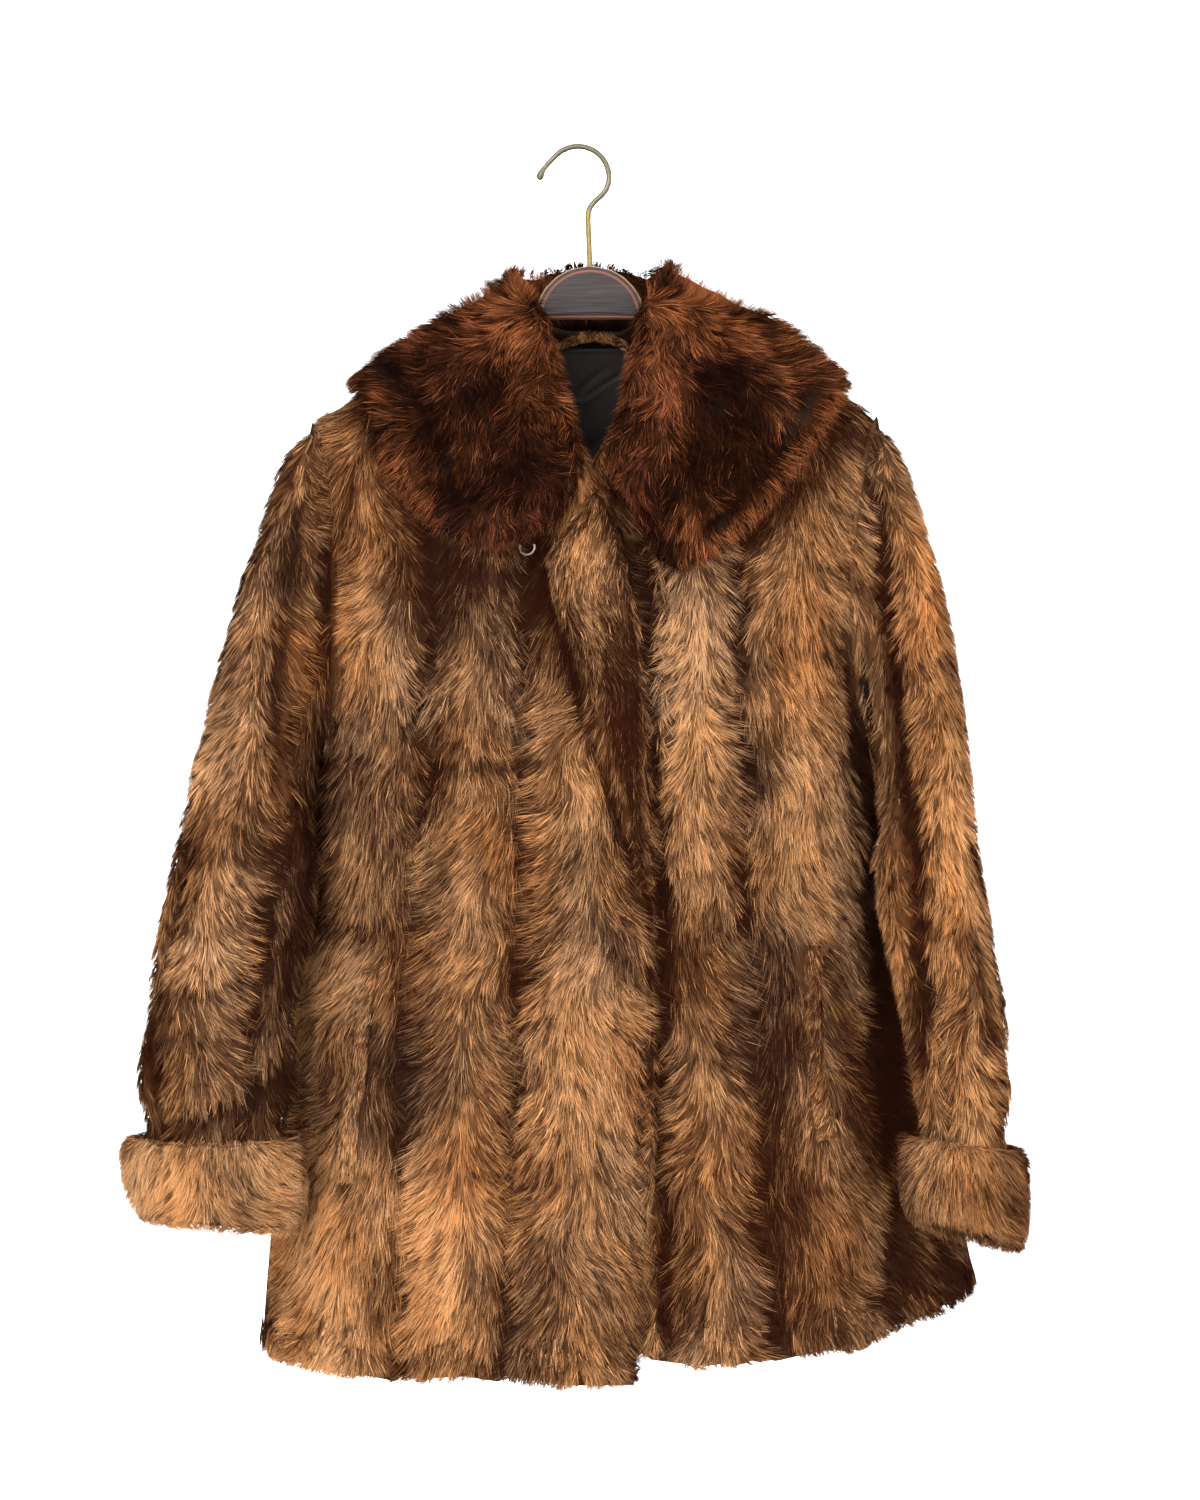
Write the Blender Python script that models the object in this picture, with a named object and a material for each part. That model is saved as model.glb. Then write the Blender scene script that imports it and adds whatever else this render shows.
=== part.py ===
"""A woman's fur jacket with a wide shawl collar, hanging on a wooden hanger.

Metres, +Z up. The front faces -Y and +X is the wearer's left. The origin is the bearing point
under the crown of the hanger's hook. Tables are in millimetres. "low" is how far a place lies
below the origin, and "over" is how far it lies down from the shoulder line, below 0 on the
front and above 0 on the back. Each wall reaches from the leather to the tips of the hair.
"""
import math

import bmesh
import bpy
import numpy as np

# ---------------------------------------------------------------- driving sizes, millimetres
MM = 0.001
BODY_WALL = 12.0            # leather, lining and hair of the body
COLLAR_WALL = 19.0
SHOULDER_PUFF = 5.0         # the collar's extra thickness over the shoulders
FACING_WALL = 9.0
LINING_WALL = 2.0
SEAM_GAP = 0.3              # between two pieces that are sewn together
COLLAR_CLEARANCE = 2.2      # under the collar, which rests on the shoulders
LAP_RISE = BODY_WALL + 4.0  # the right front lies over the left front
LAP_START, LAP_END = -86.0, -26.0
PELT_PUFF = 3.0             # how far a strip of fur swells between its seams
ROUND_EDGE = 3.5            # how far hair rounds out a free edge
HOOK_RADIUS = 22.4          # of the hook's wire, at its middle
WIRE_RADIUS = 2.0
HUB_RADIUS = 40.0           # the hanger's half-moon middle
HUB_X, HUB_LOW = 8.6, 124.0
HUB_FOOT_LOW = 122.8
SHARP_ANGLE = 55.0          # degrees, past which an edge is shaded sharp
SAME_POINT = 0.00002        # metres, nearer than which points are one
FINE_STEPS = 161            # points that measure a row before it is divided evenly
SETTLING_ROUNDS = 12


def smooth(keys, values):
    """A smooth curve through a table's rows that never swings past them."""
    keys = np.asarray(keys, float)
    values = np.asarray(values, float)
    steps = np.diff(keys)
    rises = np.diff(values) / steps
    slopes = np.empty_like(values)
    slopes[0], slopes[-1] = rises[0], rises[-1]
    same_way = rises[:-1] * rises[1:] > 0
    before = np.where(same_way, rises[:-1], 1.0)
    after = np.where(same_way, rises[1:], 1.0)
    weight_a = 2 * steps[1:] + steps[:-1]
    weight_b = steps[1:] + 2 * steps[:-1]
    mean = (weight_a + weight_b) / (weight_a / before + weight_b / after)
    slopes[1:-1] = np.where(same_way, mean, 0.0)

    def at(key):
        key = np.clip(key, keys[0], keys[-1])
        i = np.clip(np.searchsorted(keys, key) - 1, 0, len(steps) - 1)
        t = (key - keys[i]) / steps[i]
        start = (1 + 2 * t) * (1 - t) ** 2 * values[i] + t * (1 - t) ** 2 * steps[i] * slopes[i]
        end = t * t * (3 - 2 * t) * values[i + 1] + t * t * (t - 1) * steps[i] * slopes[i + 1]
        return start + end
    return at


def table(columns, rows):
    """A table's named columns, each a smooth curve over its first column."""
    data = np.array(rows, float)
    names = columns.split()
    return {name: smooth(data[:, 0], data[:, i]) for i, name in enumerate(names) if i}


def ramp(value, start, end):
    """0 before start, 1 after end and a soft step between."""
    t = np.clip((value - start) / (end - start), 0.0, 1.0)
    return t * t * (3 - 2 * t)


# ---------------------------------------------------------------- the body's form
SHOULDER = table("x low", (
    (-212, 224), (-190, 196), (-165, 178), (-140, 163), (-92, 134), (-44, 108),
    (-20, 101), (10, 100), (35, 101), (61, 106), (94, 119), (144, 145), (176, 165),
    (215, 192), (236, 222)))["low"]

SECTION = table("low left right square", (
    (90, -200, 224, 4.2),
    (190, -198, 222, 4.2),
    (300, -190, 212, 3.7),
    (462, -187, 213, 2.8),
    (560, -202, 229, 2.7),
    (660, -213, 248, 2.5),
    (740, -221, 264, 2.4),
    (800, -227, 287, 2.4),
    (875, -233, 300, 2.4)))

DEPTH = table("drop front back side", (
    (0, 0, 0, 0),
    (5, 20, 20, 0),
    (16, 31, 32, 0),
    (50, 45, 48, 2),
    (110, 60, 63, 7),
    (190, 73, 75, 18),
    (266, 81, 84, 30),
    (300, 84, 88, 36),
    (450, 92, 97, 45),
    (600, 97, 102, 50),
    (780, 102, 110, 52)))

HEM = table("x right_front left_front back", (
    (-228, 869, 869, 869),
    (-190, 869, 869, 869),
    (-123, 871, 869, 862),
    (-53, 866, 858, 864),
    (0, 869, 851, 866),
    (45, 866, 850, 864),
    (85, 863, 859, 862),
    (150, 856, 853, 855),
    (205, 850, 850, 850),
    (250, 838, 838, 838),
    (290, 825, 825, 825)))

EDGES = table("down right_front left_front armhole", (
    (0.000, -44, 61, 7),
    (0.007, -38, 55, 9),
    (0.024, -28, 46, 12),
    (0.059, -21, 41, 15),
    (0.110, -12, 34, 17),
    (0.172, 8, 12, 18),
    (0.210, 26, 2, 18),
    (0.265, 38, -5, 17),
    (0.330, 44, -8, 12),
    (0.362, 46, -8, 5),
    (0.385, 47, -8, 0),
    (0.550, 54, -8, 0),
    (0.750, 54, -8, 0),
    (0.850, 50, -8, 0),
    (1.000, 41, -8, 0)))

ARMHOLE_ROWS = (0.0, 0.007, 0.024, 0.059, 0.110, 0.168, 0.228, 0.283, 0.330, 0.362, 0.385)
LOWER_ROWS = (0.43, 0.48, 0.535, 0.59, 0.645, 0.70, 0.755, 0.81, 0.86, 0.905, 0.95, 1.0)
DOWN = np.array(ARMHOLE_ROWS + LOWER_ROWS)
UNDERARM = len(ARMHOLE_ROWS) - 1
SHOULDER_ROWS = 3           # rows that must stay on their own side of the shoulder seam

STRIP_SEAMS = table("low s0 s1 s2 s3 s4 s5 s6 s7", (
    (100, -186, -122, -56, 10, 60, 118, 200, 260),
    (300, -172, -102, -40, 55, 60, 118, 196, 260),
    (600, -190, -116, -44, 56, 62, 130, 206, 262),
    (880, -222, -128, -50, 44, 62, 142, 214, 284)))
STRIP_NAMES = ("s0", "s1", "s2", "s3", "s4", "s5", "s6", "s7")

# A fold is a trough, or a ridge where its depth is below 0.
FRONT_FOLDS = (
    # x at the chest, x at the hem, low where it starts, half width, depth at the hem
    (205, 238, 520, 26, 36),
    (120, 146, 560, 20, 5),
    (-100, -128, 560, 18, 6),
    (-40, -52, 600, 18, 5),
    (-150, -172, 640, 26, -7),
    (30, 0, 620, 30, -5))
BACK_FOLDS = (
    (-150, -176, 520, 26, 12),
    (-60, -74, 560, 26, 12),
    (40, 52, 520, 28, 14),
    (130, 158, 540, 26, 12),
    (10, -10, 560, 26, -6))
HEM_LOW = 880.0


def fold_depth(folds, x, low):
    """How far the folds press the cloth in at a place."""
    depth = 0.0
    for chest_x, hem_x, start, width, deep in folds:
        share = np.clip((low - 300.0) / (HEM_LOW - 300.0), 0.0, 1.0)
        middle = chest_x + (hem_x - chest_x) * share
        grown = ramp(low, start, HEM_LOW)
        depth = depth + deep * grown * np.exp(-((x - middle) / width) ** 2)
    return depth


def pelt_puff(x, low):
    """How far the strips of fur swell between their seams."""
    seams = [STRIP_SEAMS[name](low) for name in STRIP_NAMES]
    puff = 0.0
    for left, right in zip(seams, seams[1:]):
        width = np.maximum(right - left, 6.0)
        share = np.clip((x - left) / width, 0.0, 1.0)
        puff = puff + PELT_PUFF * np.sin(np.pi * share) ** 0.7 * (width > 20)
    return puff * ramp(low, 150, 260)


def lap(x, low):
    """How far the right front rises over the left front."""
    return LAP_RISE * ramp(x, LAP_START, LAP_END) * ramp(low, 150, 225)


def depth_at(x, low, side, lapped=False):
    """The distance in Y of the body's outside, side -1 on the front and 1 on the back."""
    left, right = SECTION["left"](low), SECTION["right"](low)
    across = np.clip(np.abs((2 * x - left - right) / (right - left)), 0.0, 1.0)
    square = SECTION["square"](low)
    swell = np.maximum(1 - across ** square, 0.0) ** (1 / square)
    drop = np.maximum(low - SHOULDER(x), 0.0)
    middle = DEPTH["side"](drop)
    if side < 0:
        reach = (DEPTH["front"](drop) + middle) * swell
        form = pelt_puff(x, low) - fold_depth(FRONT_FOLDS, x, low)
    else:
        reach = (DEPTH["back"](drop) - middle) * swell
        form = pelt_puff(x, low) - fold_depth(BACK_FOLDS, x, low)
    form = form * np.clip(3 * swell, 0, 1)
    if lapped:
        form = form + lap(x, low)
    return middle + side * (reach + form)


def body_row(down, rims, hem, side, lapped, columns, dip):
    """One row of outer points, evenly spaced over the cloth from the first rim to the second."""
    share = np.linspace(0.0, 1.0, FINE_STEPS)
    x = rims[0](down, 300.0) * (1 - share) + rims[1](down, 300.0) * share
    for _ in range(SETTLING_ROUNDS):
        top = SHOULDER(x) + (dip(x) if dip else 0.0)
        low = top + (HEM[hem](x) - top) * down
        left, right = SECTION["left"](low), SECTION["right"](low)
        middle, half = (left + right) / 2, (right - left) / 2
        ends = [np.arcsin(np.clip((rim(down, low) - middle) / half, -1.0, 1.0)) for rim in rims]
        x = middle + half * np.sin(ends[0] * (1 - share) + ends[1] * share)
    points = np.stack([x, depth_at(x, low, side, lapped), -low], axis=-1)
    steps = np.linalg.norm(np.diff(points, axis=0), axis=1)
    length = np.concatenate([[0.0], np.cumsum(steps)])
    places = np.linspace(0.0, length[-1], columns)
    return np.stack([np.interp(places, length, points[:, i]) for i in range(3)], axis=-1)


def body_grid(rims, hem, side, lapped, columns, dip=None):
    """Outer points of a panel, a row for each value of DOWN."""
    return np.array([body_row(down, rims, hem, side, lapped, columns, dip) for down in DOWN])


def left_side(down, low):
    return SECTION["left"](low) + EDGES["armhole"](down)


def right_side(down, low):
    return SECTION["right"](low) - EDGES["armhole"](down)


def right_front_edge(down, low):
    return EDGES["right_front"](down) + 0 * low


def left_front_edge(down, low):
    return EDGES["left_front"](down) + 0 * low


def neck_dip(x):
    """How far the back neckline lies under the shoulder line."""
    return 26.0 * ramp(x, -50, -14) * (1 - ramp(x, 32, 67))


# ---------------------------------------------------------------- walls
def unit(vectors):
    return vectors / np.maximum(np.linalg.norm(vectors, axis=-1, keepdims=True), 1e-9)


def normals_of(grid, inside, closed):
    """Outward normals of a grid of points around the points given as inside."""
    along = np.gradient(grid, axis=0)
    if closed:
        across = np.roll(grid, -1, axis=1) - np.roll(grid, 1, axis=1)
    else:
        across = np.gradient(grid, axis=1)
    normals = unit(np.cross(along, across))
    facing = np.sum(normals * (grid - inside))
    return normals if facing > 0 else -normals


def object_from(name, verts, faces, colour, roughness, metallic=0.0):
    """A named object with its own material, its faces turned outwards."""
    mesh = bpy.data.meshes.new(name)
    mesh.from_pydata([tuple(point) for point in np.asarray(verts) * MM], [], faces)
    shape = bmesh.new()
    shape.from_mesh(mesh)
    bmesh.ops.remove_doubles(shape, verts=shape.verts, dist=SAME_POINT)
    bmesh.ops.recalc_face_normals(shape, faces=shape.faces)
    shape.to_mesh(mesh)
    shape.free()
    mesh.shade_smooth()
    mesh.set_sharp_from_angle(angle=math.radians(SHARP_ANGLE))
    material = bpy.data.materials.new(name)
    material.use_nodes = True
    shader = material.node_tree.nodes["Principled BSDF"]
    shader.inputs["Base Color"].default_value = (*colour, 1.0)
    shader.inputs["Roughness"].default_value = roughness
    shader.inputs["Metallic"].default_value = metallic
    mesh.materials.append(material)
    piece = bpy.data.objects.new(name, mesh)
    bpy.context.scene.collection.objects.link(piece)
    return piece


def wall_mesh(outer, inner, closed, round_rims):
    """Vertices and faces of a wall between two grids, with soft rims on the named sides."""
    rows, columns = outer.shape[:2]
    verts = [*outer.reshape(-1, 3), *inner.reshape(-1, 3)]
    faces = []
    last = columns if closed else columns - 1

    def at(row, column, sheet):
        return sheet * rows * columns + row * columns + column % columns

    for row in range(rows - 1):
        for column in range(last):
            quad = [at(row, column, 0), at(row, column + 1, 0),
                    at(row + 1, column + 1, 0), at(row + 1, column, 0)]
            faces.append(quad)
            faces.append([index + rows * columns for index in reversed(quad)])

    def rim(name, places, beyond, loop):
        """One rim, through points that stand out from the wall where it is rounded."""
        ends = len(places) if loop else len(places) - 1
        middles = []
        if name in round_rims:
            for (row, column), (row_in, column_in) in zip(places, beyond):
                here = (outer[row, column] + inner[row, column]) / 2
                past = here - (outer[row_in, column_in] + inner[row_in, column_in]) / 2
                middles.append(len(verts))
                verts.append(here + unit(past) * ROUND_EDGE)
        for i in range(ends):
            j = (i + 1) % len(places)
            a, b = at(*places[i], 0), at(*places[j], 0)
            c, d = at(*places[i], 1), at(*places[j], 1)
            if middles:
                faces.append([a, b, middles[j], middles[i]])
                faces.append([middles[i], middles[j], d, c])
            elif np.linalg.norm(verts[a] - verts[d]) < np.linalg.norm(verts[b] - verts[c]):
                faces.extend([[a, b, d], [a, d, c]])
            else:
                faces.extend([[a, b, c], [b, d, c]])
        return middles

    around = range(columns)
    top = rim("top", [(0, c) for c in around], [(1, c) for c in around], closed)
    foot = rim("foot", [(rows - 1, c) for c in around], [(rows - 2, c) for c in around], closed)
    if not closed:
        for name, column, column_in in (("start", 0, 1), ("end", columns - 1, columns - 2)):
            middles = rim(name, [(r, column) for r in range(rows)],
                          [(r, column_in) for r in range(rows)], False)
            for row, crossing in ((0, top), (rows - 1, foot)):
                corner = crossing[0 if column == 0 else -1] if crossing else None
                side = middles[0 if row == 0 else -1] if middles else None
                ends = [at(row, column, 0), corner, at(row, column, 1), side]
                ends = [index for index in ends if index is not None]
                if len(ends) > 2:
                    faces.append(ends)
    return verts, faces


def wall(name, outer, inner, look, closed=False, round_rims=()):
    verts, faces = wall_mesh(outer, inner, closed, round_rims)
    return object_from(name, verts, faces, *look)


FUR = ((0.27, 0.125, 0.05), 0.75)
DARK_FUR = ((0.085, 0.026, 0.011), 0.7)
LINING = ((0.018, 0.014, 0.012), 0.55)
WOOD = ((0.06, 0.045, 0.042), 0.45)
NICKEL = ((0.62, 0.6, 0.56), 0.25, 1.0)


# ---------------------------------------------------------------- body panels
ARMHOLE_TURN = np.array([0.5, 1.0, 1.0])    # turns an armhole's rim towards the sleeve


def moved_in(grid, normals, thickness):
    """The inside of a wall: its outer points moved in along their normals."""
    return grid - normals * np.asarray(thickness)[..., None]


def panel(name, grid, sides, round_rims):
    """A body panel. Its seams turn square to the cloth, so that its neighbours fit."""
    inside = grid * np.array([1.0, 0.0, 1.0])
    normals = normals_of(grid, inside, False)
    slope = np.gradient(SHOULDER(grid[0, :, 0]), grid[0, :, 0])
    ridge = unit(np.stack([slope, 0 * slope, 1 + 0 * slope], axis=-1))
    on_shoulder = np.abs(grid[0, :, 1]) < 1.0
    normals[0] = np.where(on_shoulder[:, None], ridge, normals[0])
    for column, way in sides:
        normals[UNDERARM + 1:, column] = (way, 0, 0)
        normals[1:UNDERARM, column] = unit(normals[1:UNDERARM, column] * ARMHOLE_TURN)
        normals[UNDERARM, column] = unit(np.array([way * 0.3, 0.0, -1.0]))
        normals[UNDERARM - 1, column] = unit(normals[UNDERARM - 1, column]
                                             + 0.8 * normals[UNDERARM, column])
    inner = moved_in(grid, normals, BODY_WALL)
    side = np.sign(np.mean(grid[..., 1]))
    for sheet in (grid, inner):
        for column, _way in sides:
            sheet[UNDERARM:, column, 1] += side * SEAM_GAP / 2
        at_seam = sheet[:SHOULDER_ROWS, :, 1]
        at_seam[:] = side * np.maximum(side * at_seam, SEAM_GAP / 2)
    wall(name, grid, inner, FUR, round_rims=round_rims)
    return grid, inner


def front_right():
    grid = body_grid((right_front_edge, left_side), "right_front", -1, True, 15)
    return panel("front_right", grid, ((-1, -1),), ("foot", "start"))


def front_left():
    grid = body_grid((left_front_edge, right_side), "left_front", -1, False, 14)
    return panel("front_left", grid, ((-1, 1),), ("foot", "start"))


def back():
    grid = body_grid((left_side, right_side), "back", 1, False, 27, neck_dip)
    return panel("back", grid, ((0, -1), (-1, 1)), ("foot",))


# ---------------------------------------------------------------- sleeves and cuffs
SLEEVE_COLUMNS = "along outer_x outer_low inner_x inner_low middle_y half_y turn wall"
SLEEVES = {
    "right": table(SLEEVE_COLUMNS, (
        (0.00, -191, 197, -186, 462, 14, 50, 0, 11),
        (0.08, -207, 211, -190, 470, 13, 52, 0, 11),
        (0.18, -225, 252, -193, 480, 5, 56, 0, 11),
        (0.30, -241, 305, -193, 492, -9, 60, 4, 11),
        (0.42, -257, 368, -190, 508, -24, 60, 10, 11),
        (0.54, -275, 450, -183, 536, -40, 57, 14, 11),
        (0.66, -292, 535, -189, 580, -48, 54, 14, 11),
        (0.78, -305, 606, -198, 628, -52, 52, 14, 11),
        (0.89, -310, 672, -195, 676, -58, 48, 12, 10),
        (0.935, -304, 695, -205, 695, -60, 37.5, 0, 7),
        (1.00, -304, 758, -205, 758, -60, 37.5, 0, 7))),
    "left": table(SLEEVE_COLUMNS, (
        (0.00, 216, 193, 212, 462, 14, 50, 0, 11),
        (0.08, 231, 212, 217, 470, 13, 52, 0, 11),
        (0.18, 246, 252, 220, 480, 5, 58, 0, 11),
        (0.30, 260, 305, 219, 492, -9, 62, -2, 11),
        (0.42, 272, 368, 215, 508, -23, 62, -6, 11),
        (0.54, 280, 450, 211, 536, -38, 58, -12, 11),
        (0.66, 291, 535, 218, 580, -48, 54, -13, 11),
        (0.78, 301, 606, 229, 628, -56, 49, -12, 11),
        (0.89, 305, 672, 236, 674, -61, 42, -8, 9),
        (0.935, 301, 699, 240, 695, -64, 31, 0, 6),
        (1.00, 303, 758, 241, 748, -64, 30, 0, 6)))}
RINGS = (0, .035, .07, .11, .15, .2, .25, .31, .37, .43, .5, .57, .64, .71, .78, .845, .89,
         .925, .95, 1)
# A trough that runs down the front of a sleeve: its middle by how low, its width and depth.
SLEEVE_FOLDS = {
    "right": (
        (table("low x", ((240, -205), (398, -213), (500, -214), (620, -222)))["x"],
         240, 560, 10, 9),
        (table("low x", ((600, -304), (720, -286)))["x"], 590, 725, 9, 5)),
    "left": (
        (table("low x", ((240, 205), (397, 213), (540, 232), (640, 252)))["x"],
         235, 600, 9, 15),
        (table("low x", ((560, 275), (720, 268)))["x"], 570, 720, 10, 5))}


def sleeve_ring(rows, along, count):
    """Points around a sleeve from its outer side over the front to the inside and back."""
    angle = 2 * np.pi * np.arange(count) / count
    outer = np.array([rows["outer_x"](along), 0.0, -rows["outer_low"](along)])
    inner = np.array([rows["inner_x"](along), 0.0, -rows["inner_low"](along)])
    half = (outer - inner) / 2
    ring = np.cos(angle)[:, None] * half
    ring[:, 1] = -rows["half_y"](along) * np.sin(angle)
    turn = math.radians(float(rows["turn"](along)))
    x, y = ring[:, 0].copy(), ring[:, 1].copy()
    ring[:, 0] = x * math.cos(turn) - y * math.sin(turn)
    ring[:, 1] = x * math.sin(turn) + y * math.cos(turn)
    return (outer + inner) / 2 + np.array([0, float(rows["middle_y"](along)), 0]) + ring


def armhole_ring(front, back_grid, column_front, column_back, sheet):
    """The armhole's points on one face of the wall, in a sleeve ring's order."""
    down_front = front[sheet][:UNDERARM + 1, column_front]
    up_back = back_grid[sheet][UNDERARM - 1:0:-1, column_back]
    ring = np.concatenate([down_front, up_back]).copy()
    ring[0, 1] = 0.0
    ring[UNDERARM, 1] += SEAM_GAP / 2
    return ring


def sleeve(side, way, front, back_grid, column_back):
    """A sleeve: a tube from the armhole, which turns down and hangs beside the body."""
    rows = SLEEVES[side]
    count = 2 * UNDERARM
    hole = armhole_ring(front, back_grid, -1, column_back, 0)
    hole_inside = armhole_ring(front, back_grid, -1, column_back, 1)
    step = np.array([way * (SEAM_GAP + 0.2), 0, 0])
    away = hole - sleeve_ring(rows, 0.0, count)
    grid = []
    for along in RINGS:
        still = 1 - float(ramp(along, 0.0, 0.34))
        grid.append(sleeve_ring(rows, along, count) + away * still)
    grid = np.array(grid)
    low = -grid[..., 2]
    middle = grid.mean(axis=1, keepdims=True)
    for path, start, end, width, deep in SLEEVE_FOLDS[side]:
        grown = ramp(low, start, start + 50) * (1 - ramp(low, end - 70, end))
        trough = deep * grown * np.exp(-((grid[..., 0] - path(low)) / width) ** 2)
        on_front = ramp(middle[..., 1] - grid[..., 1], 6, 26)
        ring_grown = ramp(np.array(RINGS), 0.0, 0.1)[:, None]
        grid[..., 1] += trough * on_front * ring_grown
    inside = middle + 0 * grid
    thick = np.array([float(rows["wall"](along)) for along in RINGS])[:, None]
    inner = moved_in(grid, normals_of(grid, inside, True), thick)
    grid[0], inner[0] = hole + step, hole_inside + step
    wall("sleeve_" + side, grid, inner, FUR, closed=True)


CUFF_COLUMNS = "share x low half_x half_y middle_y tilt_x tilt_y"
CUFFS = {
    "right": table(CUFF_COLUMNS, (
        (0.0, -255, 704, 63, 49, -60, 0, 0),
        (0.2, -256, 714, 66, 52, -60, 0, 0),
        (0.5, -255, 734, 66, 53, -60, 2, 0),
        (0.8, -253, 752, 63, 51, -60, 4, 0),
        (1.0, -252, 762, 59, 48, -60, 5, 0))),
    "left": table(CUFF_COLUMNS, (
        (0.0, 270, 707, 45, 43, -64, 6, 1),
        (0.2, 271, 718, 47, 46, -64, 7, 2),
        (0.5, 271, 740, 47, 47, -64, 9, 5),
        (0.8, 272, 760, 45, 46, -64, 11, 8),
        (1.0, 272, 771, 41, 43, -64, 12, 10)))}
CUFF_INSIDE = {"right": (52.5, 41.0), "left": (32.5, 33.0)}      # half width, half depth
CUFF_ROWS = 7
CUFF_POINTS = 22


def cuff(side):
    """A turned-back cuff: a thick ring of fur around the sleeve's end."""
    rows = CUFFS[side]
    angle = 2 * np.pi * np.arange(CUFF_POINTS) / CUFF_POINTS
    outer, inner = [], []
    for share in np.linspace(0, 1, CUFF_ROWS):
        at = {name: float(curve(share)) for name, curve in rows.items()}
        outside = (at["half_x"], at["half_y"])
        for sheet, (wide, deep) in ((outer, outside), (inner, CUFF_INSIDE[side])):
            x = wide * np.cos(angle)
            y = deep * np.sin(angle)
            z = -at["low"] - at["tilt_x"] * x / at["half_x"] - at["tilt_y"] * y / at["half_y"]
            sheet.append(np.stack([at["x"] + x, at["middle_y"] + y, z], axis=-1))
    wall("cuff_" + side, np.array(outer), np.array(inner), FUR, closed=True,
         round_rims=("top", "foot"))


# ---------------------------------------------------------------- collar
# A place on the collar by its distance over the cloth from the shoulder line.
OVER_TO_DROP = table("over drop", (
    (0, 0), (10, 1.3), (21, 5), (37, 16), (74, 50), (136, 110), (217, 190), (330, 300)))["drop"]
COLLAR = table("along neck_x neck_over edge_x edge_over roll rise", (
    (0, 6, -162, -9, -196, 15, 0),
    (1, 5, -157, -28, -209, 17, 0),
    (2, 2, -147, -52, -208, 19, 0),
    (3, -4, -129, -90, -174, 20, 0),
    (4, -10, -107, -120, -134, 20, 0),
    (5, -15, -79, -141, -80, 21, 0),
    (6, -22, -50, -156, -24, 22, 0),
    (7, -42, 0, -160, 16, 22, 0),
    (8, -33, 31, -140, 95, 28, 18),
    (9, -14, 49, -92, 152, 34, 37),
    (10, 10, 51, 10, 184, 36, 42),
    (11, 34, 49, 112, 154, 34, 37),
    (12, 51, 31, 165, 97, 28, 20),
    (13, 57, 0, 190, 18, 24, 3),
    (14, 42, -50, 186, -24, 22, 0),
    (15, 39, -66, 174, -60, 21, 0),
    (16, 36, -91, 154, -104, 20, 0),
    (17, 31, -116, 133, -148, 20, 0),
    (18, 25, -138, 111, -183, 20, 0),
    (19, 20, -156, 87, -211, 19, 0),
    (20, 23, -170, 68, -226, 17, 0),
    (21, 31, -182, 54, -223, 14, 0)))
COLLAR_STATIONS = (0, .6, 1.2, 2, 2.8, 3.6, 4.4, 5.1, 5.7, 6.15, 6.45, 6.7, 6.9, 7.1, 7.35, 7.7,
                   8.1, 8.6, 9.2, 10, 10.8, 11.4, 11.9, 12.3, 12.6, 12.82, 13, 13.15, 13.3,
                   13.5, 13.75, 14.1, 14.6, 15.2, 15.9, 16.7, 17.5, 18.3, 19, 19.7, 20.4, 21)
COLLAR_ROWS = (0, .07, .16, .3, .46, .62, .78, .92, 1)


def collar_base(x, over, lapped):
    """The place on the fronts and back that the collar lies on."""
    drop = OVER_TO_DROP(np.abs(over))
    low = SHOULDER(x) + drop
    on_front = depth_at(x, low, -1, False)
    on_front = np.where(lapped, depth_at(x, low, -1, True), on_front)
    y = np.where(over < 0, on_front, depth_at(x, low, 1))
    return np.stack([x, y * ramp(drop, -0.1, 0.2), -low], axis=-1)


def base_normals(x, over, lapped):
    """Outward normals of the cloth under the collar."""
    across = collar_base(x + 1, over, lapped) - collar_base(x - 1, over, lapped)
    down = collar_base(x, over + 1, lapped) - collar_base(x, over - 1, lapped)
    return unit(np.cross(across, down))


def collar():
    """A shawl collar: fur folded over a roll, from one front round the neck to the other."""
    along = np.array(COLLAR_STATIONS)[:, None]
    share = np.array(COLLAR_ROWS)[None, :]
    at = {name: curve(along) for name, curve in COLLAR.items()}
    x = at["neck_x"] + (at["edge_x"] - at["neck_x"]) * share
    over = at["neck_over"] + (at["edge_over"] - at["neck_over"]) * share
    base = collar_base(x, over, along + 0 * share < 10)
    normals = base_normals(x, over, along + 0 * share < 10)
    near_roll = np.exp(-(share / 0.22) ** 2)
    puff = SHOULDER_PUFF * np.exp(-(over / 45) ** 2) * (1 - near_roll) * (1 - share)
    puff = puff * (1 + ramp(along, 10, 13))
    thick = COLLAR_WALL + (at["roll"] - COLLAR_WALL) * near_roll + puff - 5 * share ** 8
    outer = base + normals * thick[..., None]
    outer[..., 2] += at["rise"] * near_roll
    inner = base + normals * COLLAR_CLEARANCE
    wall("collar", outer.transpose(1, 0, 2), inner.transpose(1, 0, 2), DARK_FUR,
         round_rims=("top", "foot", "start", "end"))


# ---------------------------------------------------------------- small pieces on the cloth
def front_place(x, low, lapped, lift):
    """A place on a front, moved out along its normal."""
    def at(x_at, low_at):
        return np.stack([x_at + 0 * low_at, depth_at(x_at, low_at, -1, lapped),
                         -low_at - 0 * x_at], axis=-1)
    normals = unit(np.cross(at(x, low - 1) - at(x, low + 1), at(x + 1, low) - at(x - 1, low)))
    normals = normals * -np.sign(normals[..., 1:2])
    return at(x, low) + normals * np.asarray(lift)[..., None]


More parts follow.
